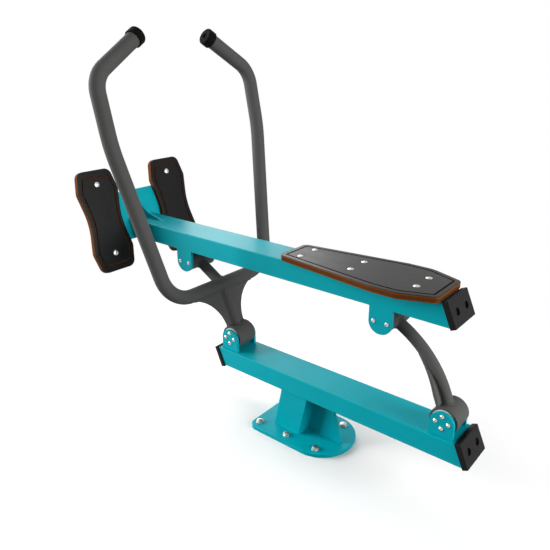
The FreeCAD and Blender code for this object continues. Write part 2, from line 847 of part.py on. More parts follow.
def handle_corners():
    """Centre line of one half of the bar, in the bar's own plane: across and up from the cross tube."""
    return [
        (Size(0), Size(0), 0),
        (size.elbow_spread / 2, Size(0), size.elbow_radius),
        (size.knee_spread / 2, size.knee_rise, size.knee_radius),
        (size.shoulder_spread / 2, size.shoulder_rise, size.shoulder_radius),
        (size.grip_end_spread / 2, size.grip_end_rise, 0),
    ]


def make_bar(name, *radii):
    """A bar of a ring or disc section, bent along half the centre line and mirrored."""
    body = new_body(name)
    path = new_sketch(body, "YZ_Plane", "centre_line")
    draw_path(path, handle_corners(), closed=False)
    section = new_sketch(body, "XZ_Plane", "section")
    for radius in radii:
        draw_circle(section, Size(0), Size(0), radius)
    doc.recompute()
    half = body.newObject("PartDesign::AdditivePipe", f"{name}_half")
    half.Profile = section
    half.Spine = (path, [])
    whole = body.newObject("PartDesign::Mirrored", f"{name}_whole")
    whole.Originals = [half]
    plane = [datum for datum in body.Origin.OriginFeatures if datum.Role == "XZ_Plane"][0]
    whole.MirrorPlane = (plane, [""])
    body.Tip = whole
    return place(body, cross_x, 0, cross_z, turned(-size.handle_lean))


def make_grip_cap(side, way):
    """Round plastic cap over the end of the bar, with a rounded rim and a central dimple."""
    name = f"grip_cap_{side}"
    body = new_body(name)
    profile = new_sketch(body, "XZ_Plane", "profile")
    rim, bore = size.grip_cap_diameter / 2, size.handle_diameter / 2
    dimple, end = size.grip_cap_dimple / 2, size.grip_cap_end
    mouth = end - size.grip_cap_length
    draw_path(profile, [
        (Size(0), Size(0), 0), (bore, Size(0), 0), (bore, mouth, 0), (rim, mouth, 0),
        (rim, end, size.grip_cap_round), (dimple, end, 0), (dimple, end - size.grip_cap_dimple_depth, 0),
        (Size(0), end - size.grip_cap_dimple_depth, 0),
    ])
    turn = body.newObject("PartDesign::Revolution", f"{name}_turn")
    turn.Profile = profile
    turn.ReferenceAxis = (profile, ["V_Axis"])
    turn.Angle = 360
    (from_y, from_z, _), (to_y, to_z, _) = handle_corners()[-2:]
    slope = math.degrees(math.atan2(to_y - from_y, to_z - from_z))
    lean = turned(-size.handle_lean)
    up_x, up_z = -to_z * sine(size.handle_lean), to_z * cosine(size.handle_lean)
    return place(
        body, cross_x + up_x, way * to_y, cross_z + up_z,
        lean.multiply(Rotation(Vector(1, 0, 0), -way * slope)))


# Rear link: a curved tube with side fins between two hubs

def rear_link_arc():
    """Centre, radius, start and sweep of the arc through the rear pivots."""
    half = size.link_length / 2
    radius = (half * half + size.arm_bulge * size.arm_bulge) / (2 * size.arm_bulge)
    drop = radius - size.arm_bulge
    middle_x = lower_pivots["rear"] + link_shift / 2
    middle_z = lower_pivot_z + link_rise / 2
    centre_x = middle_x - drop * cosine(size.link_lean)
    centre_z = middle_z - drop * sine(size.link_lean)
    half_sweep = arc_sine(half / radius)
    return centre_x, centre_z, radius, size.link_lean - half_sweep, 2 * half_sweep


def make_arm(lower_hub, upper_hub):
    """Curved tube, fitted to both hubs."""
    x, z, radius, start, sweep = rear_link_arc()
    rotation = turned(-start).multiply(Rotation(Vector(1, 0, 0), 90))
    rings = []
    outside = size.arm_diameter / 2
    for name, thick in (("outside", outside), ("bore", outside - size.arm_wall)):
        ring = doc.addObject("Part::Torus", f"rear_link_arm_{name}")
        bind(ring, "Radius1", radius)
        bind(ring, "Radius2", thick)
        bind(ring, "Angle3", sweep)
        rings.append(place(ring, x, 0, z, rotation))
    return cut("rear_link_arm", rings[0], rings[1], lower_hub, upper_hub), rings[0]


def make_fin(side, way, arm, hub):
    """Curved fin on the arm's inner side, widest at the lower hub and tapering into the tube."""
    name = f"rear_link_fin_{side}"
    x, z, radius, start, sweep = rear_link_arc()
    rotation = turned(-start).multiply(Rotation(Vector(1, 0, 0), 90))
    thick, wide = size.fin_thickness / 2, size.fin_spread / 2
    band_y = wide if way > 0 else Size(0)
    middle = radius - size.fin_setback
    outer = cylinder(f"{name}_outer", middle + thick, wide, x, band_y, z, rotation, sweep)
    inner = cylinder(f"{name}_inner", middle - thick, wide, x, band_y, z, rotation)
    taper = place(flat_plate(f"{name}_taper", "YZ_Plane", [
        (0, 0, 0), (way * wide, 0, 0), (way * wide, size.fin_straight, 0),
        (way * size.fin_tip_spread / 2, size.fin_length, 0), (0, size.fin_length, 0),
    ], TRIM_DEPTH * size.arm_bulge), lower_pivots["rear"], 0, lower_pivot_z, turned(-size.link_lean))
    shaped = doc.addObject("Part::Common", f"{name}_shaped")
    shaped.Base = cut(f"{name}_band", outer, inner)
    shaped.Tool = taper
    return cut(name, shaped, arm, hub)


# Footrest, seat and their boards

def make_cross_plate():
    half = (size.foot_spread - size.foot_plate_width) / 2
    high = size.cross_plate_height / 2
    corners = rectangle(-half, -high, half, high)
    plate = flat_plate("footrest_cross_plate", "YZ_Plane", corners, size.foot_plate_thickness)
    return place_plate(plate, 0)


def place_plate(body, across):
    """Stands a plate in the footrest's plane, its seat-side face on that plane."""
    return place(body, *on_footrest(-size.foot_plate_thickness / 2, across, 0), foot_turn)


def foot_screw_holes(name, across, out, depth):
    return [
        cylinder(
            f"{name}_hole_{i}", size.board_screw / 2 + size.screw_gap, depth + 2 * CUT_MARGIN,
            *on_footrest(out - CUT_MARGIN, across, up), foot_out)
        for i, up in enumerate(foot_screw_rises)
    ]


def make_foot_plate(side, way):
    """Steel backing plate behind a foot pad."""
    name, across = f"foot_plate_{side}", way * size.foot_spread / 2
    wide, high = size.foot_plate_width / 2, foot_plate_length / 2
    corners = rectangle(-wide, -high, wide, high, size.foot_plate_round)
    blank = place_plate(flat_plate(f"{name}_blank", "YZ_Plane", corners, size.foot_plate_thickness), across)
    holes = foot_screw_holes(name, across, -size.foot_plate_thickness, size.foot_plate_thickness)
    return drilled(name, blank, holes)


def make_rib():
    """Upright rib between the beam's top and the cross plate, with a hollow edge."""
    lean, rise = sine(size.foot_tilt), cosine(size.foot_tilt)
    return place(flat_plate("footrest_rib", "XZ_Plane", [
        (0, 0, 0), (size.rib_length, 0, 0),
        (size.rib_length - size.rib_hollow_along, size.rib_hollow_up, size.rib_hollow_radius),
        (-size.rib_height * lean, size.rib_height * rise, 0),
    ], size.rib_thickness), seat_beam_front, 0, seat_beam_top)


def make_board(name, role, corners, groove_corners):
    """Two-colour board: flat underneath, rounded on top, with a groove inside its outline."""
    body = new_body(name)
    outline = new_sketch(body, role, "outline")
    draw_path(outline, corners)
    slab = pad(body, outline, size.board_thickness)
    axis = {"XY_Plane": "Z", "YZ_Plane": "X"}[role]
    round_edges(body, slab, size.board_edge_round, lies_at(axis, size.board_thickness))
    groove = new_sketch(body, role, "groove", lift=size.board_thickness)
    draw_path(groove, inset(groove_corners, size.groove_inset))
    draw_path(groove, inset(groove_corners, size.groove_inset + size.groove_width))
    pocket(body, groove, size.groove_depth)
    return body


def foot_pad_corners(length):
    """A waisted outline, wider at both ends than in the middle."""
    end, lobe = size.foot_pad_end_width / 2, size.foot_pad_lobe_width / 2
    high, rise = length / 2, size.foot_pad_lobe_rise
    lower = [
        (end, -high, size.foot_pad_corner_radius), (lobe, -rise, size.foot_pad_lobe_radius),
        (size.foot_pad_waist_width / 2, Size(0), size.foot_pad_waist_radius),
        (lobe, rise, size.foot_pad_lobe_radius), (end, high, size.foot_pad_corner_radius),
    ]
    return mirrored(lower)


def make_foot_pad(side, way):
    name, across = f"foot_pad_{side}", way * size.foot_spread / 2
    corners = foot_pad_corners(size.foot_pad_length)
    groove_corners = foot_pad_corners(size.foot_pad_length - 2 * size.foot_groove_end)
    board = make_board(f"{name}_board", "YZ_Plane", corners, groove_corners)
    place(board, *on_footrest(0, across, 0), foot_turn)
    return drilled(name, board, foot_screw_holes(name, across, 0, size.board_thickness))


def make_nut(name, x, y, z, rotation=UPRIGHT):
    """Plain hexagon nut that stands on its seat along the rotation's Z."""
    hexagon = doc.addObject("Part::Prism", f"{name}_hexagon")
    hexagon.Polygon = 6
    bind(hexagon, "Circumradius", size.board_nut_across_corners / 2)
    bind(hexagon, "Height", size.board_nut_height)
    place(hexagon, x, y, z, rotation)
    back = rotation.multVec(Vector(0, 0, -CUT_MARGIN))
    bore = cylinder(
        f"{name}_bore", size.board_screw / 2 + size.screw_gap, size.board_nut_height + 2 * CUT_MARGIN,
        x + back.x, y + back.y, z + back.z, rotation)
    return cut(name, hexagon, bore)


def make_foot_fasteners():
    """Screws through the foot pads and their backing plates, and the nuts behind."""
    screws, nuts = [], []
    reach = size.board_thickness + size.foot_plate_thickness + size.board_screw_reach
    behind = -size.foot_plate_thickness - size.board_nut_height
    for side, way in SIDES.items():
        across = way * size.foot_spread / 2
        for i, up in enumerate(foot_screw_rises):
            screws.append(screw(
                f"foot_screw_{side}_{i}", size.board_screw_head, size.board_screw_head_height,
                size.board_screw, reach, *on_footrest(size.board_thickness, across, up), foot_out))
            nuts.append(make_nut(f"foot_nut_{side}_{i}", *on_footrest(behind, across, up), foot_out))
    return compound("foot_pad_screws", screws), compound("foot_pad_nuts", nuts)


def seat_corners():
    """Seat from above: narrow in front, widest towards the back, drawn in again at the end."""
    front, rear = Size(0), size.seat_length
    wide_rear = rear - size.seat_taper_length
    right = [
        (front, -size.seat_front_width / 2, size.seat_corner_radius),
        (rear, -size.seat_rear_width / 2, size.seat_corner_radius),
    ]
    wide = [
        (wide_rear - size.seat_wide_length, -size.seat_wide / 2, size.seat_shoulder_radius),
        (wide_rear, -size.seat_wide / 2, size.seat_shoulder_radius),
    ]
    half = [right[0], *wide, right[1]]
    return half + [(x, -y, radius) for x, y, radius in reversed(half)]


def seat_screw_places():
    columns = (seat_screw_first, seat_screw_middle, seat_screw_last)
    return [(x, way * seat_screw_spread / 2) for x in columns for way in SIDES.values()]


def seat_holes(name, low, depth):
    return [
        cylinder(
            f"{name}_hole_{i}", size.board_screw / 2 + size.screw_gap, depth + 2 * CUT_MARGIN,
            x, y, low - CUT_MARGIN)
        for i, (x, y) in enumerate(seat_screw_places())
    ]


def make_seat_fasteners():
    """Screws through the seat and the beam's top wall, and the nuts inside the beam."""
    screws, nuts = [], []
    reach = size.board_thickness + size.beam_wall + size.board_screw_reach
    under = seat_beam_top - size.beam_wall - size.board_nut_height
    for i, (x, y) in enumerate(seat_screw_places()):
        screws.append(screw(
            f"seat_screw_{i}", size.board_screw_head, size.board_screw_head_height,
            size.board_screw, reach, x, y, seat_beam_top + size.board_thickness))
        nuts.append(make_nut(f"seat_nut_{i}", x, y, under))
    return compound("seat_pad_screws", screws), compound("seat_pad_nuts", nuts)


# Assembly

def assemble_base():
    node(make_base_plate(), "base_plate")
    node(make_anchor_washers(), "anchor_washers")
    node(make_anchor_nuts(), "anchor_nuts")
    node(make_post(), "pedestal_post")
    node(make_gusset(), "pedestal_gusset")
    beam = make_beam(
        "base_beam", base_beam_front, base_beam_rear, size.base_beam_rise, size.end_slant)
    node(beam, "base_beam")
    middle = size.base_beam_rise + size.beam_height / 2
    half_run = size.beam_height * tangent(size.end_slant) / 2
    front_cap = make_beam_cap("base_front_cap", base_beam_front + half_run, middle, turned(180))
    rear_cap = make_beam_cap("base_rear_cap", base_beam_rear + half_run, middle, UPRIGHT)
    node(front_cap, "base_front_cap")
    node(rear_cap, "base_rear_cap")
    for end, x in lower_pivots.items():
        make_pivot(
            end, "lower", x, lower_pivot_z, -lower_pivot_rise, size.lower_ear_width, size.lower_ear_reach,
            lower_ear_spread, size.lower_axle_diameter, size.lower_screw_edge, LOWER_SCREWS)
    axle = size.lower_axle_diameter / 2
    key = sector(
        "stop_key", lower_hub_bore / 2 - size.stop_key_gap, axle, stop_length,
        size.front_pivot, lower_pivot_z, 0, size.stop_key_angle)
    node(key, "stop_key")


def assemble_lever():
    pivot = (size.front_pivot, lower_pivot_z)
    cross = (cross_x, cross_z)
    head = (upper_pivots["front"], upper_pivot_z)
    lower_hub = across_tube(
        "lever_lower_hub", lower_hub_diameter, lower_hub_bore, lower_hub_length, *pivot)
    upper_hub = across_tube(
        "lever_upper_hub", upper_hub_diameter, upper_hub_bore, upper_hub_length, *head)
    node(lower_hub, "lever_lower_hub")
    node(upper_hub, "lever_upper_hub")
    bar_radius = size.handle_diameter / 2
    node(make_bar("handlebar", bar_radius, bar_radius - size.handle_wall), "handlebar")
    solid_bar = make_bar("handlebar_outside", bar_radius)
    lower_solid = lower_hub.Base
    lower_stem, lower_outside = make_stem("lever_lower_stem", pivot, cross, lower_solid, solid_bar)
    upper_stem, _ = make_stem("lever_upper_stem", cross, head, upper_hub.Base, solid_bar)
    node(lower_stem, "lever_lower_stem")
    node(upper_stem, "lever_upper_stem")
    for side, way in SIDES.items():
        node(make_web(side, way, lower_outside, lower_solid, solid_bar), f"lever_web_{side}")
        node(make_grip_cap(side, way), f"grip_cap_{side}")
    lower = make_bushes(
        "lever_lower_bushes", *pivot, lower_hub_bore, size.lower_axle_diameter,
        lower_hub_length, size.lower_bush_length)
    upper = make_bushes(
        "lever_upper_bushes", *head, upper_hub_bore, size.upper_axle_diameter,
        upper_hub_length, size.upper_bush_length)
    node(lower, "lever_lower_bushes")
    node(upper, "lever_upper_bushes")
    assemble_stops()


def assemble_stops():
    """Stop ring in the front lower hub, open over the key's travel, with a buffer at each end."""
    outer = lower_hub_bore / 2
    inner = size.lower_axle_diameter / 2 + size.running_gap
    first = size.stop_key_angle + size.stop_gap_angle
    last = 360 - size.swing_range - size.stop_gap_angle
    spot = (size.front_pivot, lower_pivot_z)
    ring = sector(
        "stop_ring", outer, inner, stop_length, *spot,
        first + size.buffer_angle, last - first - 2 * size.buffer_angle)
    node(ring, "stop_ring")
    buffers = [
        sector(f"stop_buffer_{name}", outer, inner, stop_length, *spot, start, size.buffer_angle)
        for name, start in (("front", first), ("rear", last - size.buffer_angle))
    ]
    node(compound("stop_buffers", buffers), "stop_buffers")


def assemble_rear_link():
    foot = (lower_pivots["rear"], lower_pivot_z)
    head = (upper_pivots["rear"], upper_pivot_z)
    lower_hub = across_tube(
        "rear_link_lower_hub", lower_hub_diameter, lower_hub_bore, lower_hub_length, *foot)
    upper_hub = across_tube(
        "rear_link_upper_hub", upper_hub_diameter, upper_hub_bore, upper_hub_length, *head)
    node(lower_hub, "rear_link_lower_hub")
    node(upper_hub, "rear_link_upper_hub")
    arm, outside = make_arm(lower_hub.Base, upper_hub.Base)
    node(arm, "rear_link_arm")
    for side, way in SIDES.items():
        node(make_fin(side, way, outside, lower_hub.Base), f"rear_link_fin_{side}")
    lower = make_bushes(
        "rear_link_lower_bushes", *foot, lower_hub_bore, size.lower_axle_diameter,
        lower_hub_length, size.lower_bush_length)
    upper = make_bushes(
        "rear_link_upper_bushes", *head, upper_hub_bore, size.upper_axle_diameter,
        upper_hub_length, size.upper_bush_length)
    node(lower, "rear_link_lower_bushes")
    node(upper, "rear_link_upper_bushes")


def assemble_seat_frame():
    blank = make_beam("seat_beam_blank", seat_beam_front, seat_beam_rear, seat_beam_low, size.foot_tilt)
    holes = seat_holes("seat_beam", seat_beam_top - size.beam_wall, size.beam_wall)
    node(drilled("seat_beam", blank, holes), "seat_beam")
    half_run = size.beam_height * tangent(size.end_slant) / 2
    cap_x, cap_z = seat_beam_rear + half_run, seat_beam_low + size.beam_height / 2
    node(make_beam_cap("seat_beam_cap", cap_x, cap_z, UPRIGHT), "seat_beam_cap")
    for end, x in upper_pivots.items():
        make_pivot(
            end, "upper", x, upper_pivot_z, upper_pivot_drop, size.upper_ear_width, size.upper_ear_reach,
            upper_ear_spread, size.upper_axle_diameter, size.upper_screw_edge, UPPER_SCREWS)
    node(make_cross_plate(), "footrest_cross_plate")
    node(make_rib(), "footrest_rib")
    for side, way in SIDES.items():
        node(make_foot_plate(side, way), f"foot_plate_{side}")
        node(make_foot_pad(side, way), f"foot_pad_{side}")
    screws, nuts = make_foot_fasteners()
    node(screws, "foot_pad_screws")
    node(nuts, "foot_pad_nuts")
    outline = seat_corners()
    board = make_board("seat_pad_board", "XY_Plane", outline, outline)
    place(board, seat_front, 0, seat_beam_top)
    holes = seat_holes("seat_pad", seat_beam_top, size.board_thickness)
    node(drilled("seat_pad", board, holes), "seat_pad")
    screws, nuts = make_seat_fasteners()
    node(screws, "seat_pad_screws")
    node(nuts, "seat_pad_nuts")


def check_document():
    """Stops if any feature failed or any piece is empty or not a valid solid."""
    faults = [thing.Name for thing in doc.Objects if {"Invalid", "Error"} & set(thing.State)]
    for thing in nodes:
        shape = thing.Shape
        if shape.isNull() or not shape.isValid() or not shape.Solids:
            faults.append(thing.Label)
    if faults:
        raise RuntimeError(f"these objects failed: {', '.join(sorted(set(faults)))}")


def export_nodes():
    os.makedirs("parts", exist_ok=True)
    for thing in nodes:
        thing.Shape.exportStep(f"parts/{thing.Label}.step")
        print(f"{thing.Label}: {len(thing.Shape.Solids)} solids, {thing.Shape.Volume / 1000:.1f} cm3")


assemble_base()
assemble_lever()
assemble_rear_link()
assemble_seat_frame()
doc.recompute()
check_document()
export_nodes()
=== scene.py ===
"""Looks of an outdoor rowing machine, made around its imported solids.

Metres, +Z up, +X towards the seat's back end.
"""
import json
from math import asin, atan2, copysign, cos, pi, radians, sin, sqrt, tan, tau

import bmesh
import bpy
from mathutils import Matrix, Vector

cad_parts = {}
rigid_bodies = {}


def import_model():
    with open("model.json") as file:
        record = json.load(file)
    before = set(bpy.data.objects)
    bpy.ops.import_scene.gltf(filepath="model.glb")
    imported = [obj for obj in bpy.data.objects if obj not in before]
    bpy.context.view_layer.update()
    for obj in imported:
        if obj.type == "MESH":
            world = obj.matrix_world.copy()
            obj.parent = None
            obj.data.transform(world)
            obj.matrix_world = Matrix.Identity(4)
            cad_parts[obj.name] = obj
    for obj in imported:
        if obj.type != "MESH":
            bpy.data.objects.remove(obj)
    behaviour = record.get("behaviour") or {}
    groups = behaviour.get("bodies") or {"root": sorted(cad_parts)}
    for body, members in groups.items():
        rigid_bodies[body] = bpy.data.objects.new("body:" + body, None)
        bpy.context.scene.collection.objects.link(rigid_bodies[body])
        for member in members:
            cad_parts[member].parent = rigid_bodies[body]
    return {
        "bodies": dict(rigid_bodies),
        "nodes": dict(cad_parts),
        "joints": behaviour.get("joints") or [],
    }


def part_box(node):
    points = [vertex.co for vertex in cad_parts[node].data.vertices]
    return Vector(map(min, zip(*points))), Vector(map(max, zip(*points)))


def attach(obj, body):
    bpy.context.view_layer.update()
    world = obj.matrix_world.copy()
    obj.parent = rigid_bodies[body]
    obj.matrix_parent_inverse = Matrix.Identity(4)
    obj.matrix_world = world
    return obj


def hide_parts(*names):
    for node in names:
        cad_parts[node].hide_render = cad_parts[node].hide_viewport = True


bl_info = {
    "name": "Outdoor rowing machine",
    "version": (1, 0, 0),
    "blender": (4, 5, 0),
    "location": "3D View > Sidebar > Rower",
    "description": "Finishes, boards, fasteners and welds of an outdoor rowing machine",
    "category": "Object",
}

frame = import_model()
for stray in set(bpy.data.objects) - set(frame["nodes"].values()) - set(frame["bodies"].values()):
    bpy.data.objects.remove(stray)
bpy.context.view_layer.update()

MM = 0.001
SIDES = {"left": 1, "right": -1}

# Pivots in the machine's mid plane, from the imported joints
PLACES = {joint["name"]: Vector(joint["pos_m"]) for joint in frame["joints"]}
FRONT_LOWER, REAR_LOWER = PLACES["lever_swing"], PLACES["rear_link_swing"]
FRONT_UPPER = PLACES["seat_swing"]
REAR_UPPER = FRONT_UPPER + REAR_LOWER - FRONT_LOWER

# Levels that the solids share
BASE_BEAM_LOW, BASE_BEAM_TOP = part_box("base_beam")[0].z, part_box("base_beam")[1].z
SEAT_BEAM_LOW, SEAT_BEAM_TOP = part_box("seat_beam")[0].z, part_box("seat_beam")[1].z
PLATE_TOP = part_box("base_plate")[1].z

# Beams and ears
BEAM_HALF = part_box("seat_beam")[1].y
BEAM_CORNER = 2.5 * MM
EAR_THICKNESS = 8 * MM
UPPER_EAR_HALF = 31.5 * MM
LOWER_EAR_HALF, LOWER_EAR_RISE, LOWER_EAR_INSET = 30.2 * MM, 26.6 * MM, 8 * MM

# Pedestal
POST_LEAN = radians(11.6)
POST_HALF, POST_FOOT = 45 * MM, -20 * MM
GUSSET_HALF, GUSSET_FOOT, GUSSET_HEAD = 5 * MM, 140 * MM, 103 * MM

# Lever and rear link: radii of the hubs and tubes, and how they run
LOWER_HUB, UPPER_HUB = 35 * MM, 30.15 * MM
STEM, HANDLE, ARM = 16 * MM, 20.5 * MM, 15 * MM
STEM_LEAN, STEM_LENGTH = radians(24.5), 161.3 * MM
WEB_HALF = 4 * MM
ARM_BULGE = 34.5 * MM
FIN_HALF, FIN_ROOT, FIN_SETBACK = 4 * MM, 5 * MM, 10 * MM
FIN_START, FIN_STRAIGHT, FIN_END = 32 * MM, 65 * MM, 165 * MM
FIN_FOOT, FIN_TIP = 33 * MM, 10 * MM

# Footrest and seat
FOOT_TILT = radians(16.5)
FOOT_OUT = Vector((cos(FOOT_TILT), 0, sin(FOOT_TILT)))
FOOT_UP = Vector((-sin(FOOT_TILT), 0, cos(FOOT_TILT)))
FOOT_AHEAD, FOOT_RISE = 262 * MM, 9.8 * MM
FOOT_CENTRE = FRONT_UPPER + Vector((-FOOT_AHEAD, 0, SEAT_BEAM_TOP + FOOT_RISE - FRONT_UPPER.z))
FOOT_SPREAD = 139.5 * MM
FOOT_PLATE = 8 * MM
FOOT_SCREWS = (113.25 * MM, -103.25 * MM)
RIB_HALF = 4 * MM
SEAT_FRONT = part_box("seat_pad")[0].x
SEAT_SCREWS = [(SEAT_FRONT + along * MM, way * 31.5 * MM) for along in (50.5, 201.75, 375) for way in (1, -1)]
BOARD = 15.5 * MM


def linear(code):
    """Linear colour of an sRGB hex code."""
    shares = [int(code[at:at + 2], 16) / 255 for at in (1, 3, 5)]
    return tuple(c / 12.92 if c <= 0.04045 else ((c + 0.055) / 1.055) ** 2.4 for c in shares)


class RowerSizes(bpy.types.PropertyGroup):
    """Sizes of the details that are added to the solids."""
    rim_round: bpy.props.FloatProperty(
        name="Rim rounding", description="Rounding on the cut rims of steel plates",
        default=0.7 * MM, min=0, unit="LENGTH")
    weld_radius: bpy.props.FloatProperty(
        name="Weld size", description="Radius of a weld bead", default=2.6 * MM, min=0, unit="LENGTH")
    seam_radius: bpy.props.FloatProperty(
        name="Seam size", description="Radius of a weld bead that is ground down", default=1.3 * MM, min=0,
        unit="LENGTH")
    weld_pitch: bpy.props.FloatProperty(
        name="Weld ripple", description="Distance from one ripple of a weld to the next",
        default=3.2 * MM, min=0, unit="LENGTH")
    board_round: bpy.props.FloatProperty(
        name="Board rounding", description="Rounding round the top of a board",
        default=2 * MM, min=0, unit="LENGTH")
    groove_inset: bpy.props.FloatProperty(
        name="Groove inset", description="Distance of the groove from a board's edge",
        default=12.5 * MM, min=0, unit="LENGTH")
    groove_end: bpy.props.FloatProperty(
        name="Groove ends", description="How much further the groove stays from the ends of a foot pad",
        default=6.5 * MM, min=0, unit="LENGTH")
    groove_width: bpy.props.FloatProperty(
        name="Groove width", description="Width of the routed groove", default=4.5 * MM, min=0, unit="LENGTH")
    groove_depth: bpy.props.FloatProperty(
        name="Groove depth", description="Depth of the routed groove", default=3.5 * MM, min=0, unit="LENGTH")
    skin: bpy.props.FloatProperty(
        name="Skin thickness", description="Thickness of a board's dark skin", default=1 * MM, min=0,
        unit="LENGTH")


class RowerColours(bpy.types.PropertyGroup):
    """Colours of the finishes."""
    frame_coat: bpy.props.FloatVectorProperty(
        name="Frame", description="Coat of the base and the seat frame", subtype="COLOR",
        default=linear("#00A1AE"), min=0, max=1)
    lever_coat: bpy.props.FloatVectorProperty(
        name="Lever", description="Coat of the lever and the rear link", subtype="COLOR",
        default=linear("#525251"), min=0, max=1)
    board_skin: bpy.props.FloatVectorProperty(
        name="Board skin", description="Skin of the seat and the foot pads", subtype="COLOR",
        default=linear("#0B0B0B"), min=0, max=1)
    board_core: bpy.props.FloatVectorProperty(
        name="Board core", description="Core of the seat and the foot pads", subtype="COLOR",
        default=linear("#74421D"), min=0, max=1)
    caps: bpy.props.FloatVectorProperty(
        name="Beam caps", description="Plastic of the beams' end caps", subtype="COLOR",
        default=linear("#0D0D0D"), min=0, max=1)
    grips: bpy.props.FloatVectorProperty(
        name="Grip caps", description="Plastic of the handlebar's end caps", subtype="COLOR",
        default=linear("#101010"), min=0, max=1)
    floor: bpy.props.FloatVectorProperty(
        name="Floor", description="Studio floor", subtype="COLOR", default=linear("#F5F5F4"), min=0, max=1)


# Materials

def add(tree, kind, inputs=None, **settings):
    """Adds a node with its settings. An input is a value, or the socket that is linked to it."""
    item = tree.nodes.new(kind)
    for name, value in settings.items():
        setattr(item, name, value)
    for key, value in (inputs or {}).items():
        if isinstance(value, bpy.types.NodeSocket):
            tree.links.new(value, item.inputs[key])
        else:
            item.inputs[key].default_value = value
    return item


def maths(tree, operation, *values, **settings):
    """Result of a calculation with values or sockets."""
    item = add(tree, "ShaderNodeMath", dict(enumerate(values)), operation=operation, **settings)
    return item.outputs["Value"]


def bare_tree(holder):
    """Empty node tree of a material or a world."""
    holder.use_nodes = True
    holder.node_tree.nodes.clear()
    return holder.node_tree


def per_metre(millimetres):
    """Texture scale at which one feature is that wide."""
    return 1 / (millimetres * MM)


def noise(tree, place, millimetres, detail, roughness=0.5):
    """Noise from 0 to 1 with features of that width."""
    return add(tree, "ShaderNodeTexNoise", {
        "Vector": place, "Scale": per_metre(millimetres), "Detail": detail,
        "Roughness": roughness}).outputs["Fac"]


def mixed(tree, share, first, second):
    """Mix of two colours, which are the node's inputs 6 and 7 and its output 2."""
    return add(tree, "ShaderNodeMix", {0: share, 6: first, 7: second}, data_type="RGBA").outputs[2]


def clouded(tree, share, colour, low, high):
    """A colour that runs from a darker to a lighter version of itself."""
    return mixed(tree, share, *[(*[min(c * gain, 1) for c in colour], 1) for gain in (low, high)])


def spread(tree, share, low, high, start=0.0, end=1.0):
    """A number between a start and an end, spread from low to high."""
    return add(tree, "ShaderNodeMapRange", {
        "Value": share, "From Min": start, "From Max": end, "To Min": low, "To Max": high}).outputs["Result"]


def stretched(tree, place, scale):
    """Coordinates stretched along the axes of a small scale."""
    return add(tree, "ShaderNodeMapping", {"Vector": place, "Scale": scale}).outputs["Vector"]


def attribute(tree, name):
    return add(tree, "ShaderNodeAttribute", attribute_name=name).outputs["Fac"]


def bumped(tree, height, strength, distance):
    """Normals of a fine relief."""
    return add(tree, "ShaderNodeBump", {
        "Height": height, "Strength": strength, "Distance": distance}).outputs["Normal"]


def new_material(name, constants):
    """Material with a shader of those constants, and its object coordinates."""
    material = bpy.data.materials.new(name)
    tree = bare_tree(material)
    shader = add(tree, "ShaderNodeBsdfPrincipled", constants)
    add(tree, "ShaderNodeOutputMaterial", {"Surface": shader.outputs["BSDF"]})
    place = add(tree, "ShaderNodeTexCoord").outputs["Object"]
    return material, tree, shader, place


def dress(tree, shader, colour, roughness, normal):
    """Links a shader's colour, roughness and normals."""
    for name, socket in (("Base Color", colour), ("Roughness", roughness), ("Normal", normal)):
        tree.links.new(socket, shader.inputs[name])


def powder_coat(name, colour, peel, depth, roughness, shine):
    """Powder coat, sprayed dry and baked: even colour, a soft sheen broken up by fine orange peel."""
    material, tree, shader, place = new_material(name, {"IOR": 1.5, "Specular IOR Level": shine})
    orange_peel = noise(tree, place, peel, detail=3.0)
    dress(
        tree, shader, clouded(tree, noise(tree, place, 90, detail=2.0), colour, 0.92, 1.07),
        spread(tree, orange_peel, roughness - 0.05, roughness + 0.06, start=0.3, end=0.7),
        bumped(tree, orange_peel, depth, 0.3 * MM))
    return material


def board_skin(colour):
    """Skin of a coextruded polyethylene board: near black, pebbled, with a dull shine at low angles."""
    material, tree, shader, place = new_material(
        "polyethylene_skin_textured", {"IOR": 1.54, "Specular IOR Level": 0.14})
    cloud = noise(tree, stretched(tree, place, (0.35, 1, 1)), 34, detail=5.0, roughness=0.62)
    pebble = add(
        tree, "ShaderNodeTexVoronoi", {"Vector": place, "Scale": per_metre(1.6)}, feature="SMOOTH_F1")
    dress(
        tree, shader, clouded(tree, cloud, colour, 0.72, 1.5), spread(tree, cloud, 0.24, 0.42),
        bumped(tree, pebble.outputs["Distance"], 0.22, 0.3 * MM))
    return material


def board_core(colour):
    """Core of the board, laid bare by a cutter: waxy brown without shine, with painted shade towards near
    black in the middle of a side and in the groove.
    """
    material, tree, shader, place = new_material(
        "polyethylene_core_milled", {"IOR": 1.54, "Specular IOR Level": 0.02})
    layers = noise(tree, stretched(tree, place, (0.5, 0.5, 3)), 20, detail=4.0)
    tone = clouded(tree, layers, colour, 0.75, 1.22)
    # Painted shade: where the attribute is below 1, the brown is mixed towards near black, in the middle of a
    # side and in the groove.
    dress(
        tree, shader, mixed(tree, attribute(tree, "core"), (*linear("#0B0A0A"), 1), tone),
        spread(tree, layers, 0.66, 0.84),
        bumped(tree, noise(tree, place, 1.2, detail=2.0), 0.08, 0.2 * MM))
    return material


def moulded_plastic(name, colour, grain, roughness, shine=0.1):
    """Plastic moulded in a spark-eroded tool: dull and finely grained, with painted light where the dimple
    attribute is 1: one even tone, 1.2 times paler.
    """
    material, tree, shader, place = new_material(name, {"IOR": 1.49, "Specular IOR Level": shine})
    tone = clouded(tree, noise(tree, place, 25, detail=3.0), colour, 0.85, 1.2)
    pits = noise(tree, place, grain, detail=2.0)
    # Painted light: the floors of the deep dimples are painted paler, to lift their shade.
    dress(
        tree, shader, mixed(tree, attribute(tree, "polish"), tone, (*[c * 1.2 for c in colour], 1)),
        spread(tree, pits, roughness - 0.08, roughness + 0.08), bumped(tree, pits, 0.02, 0.2 * MM))
    return material


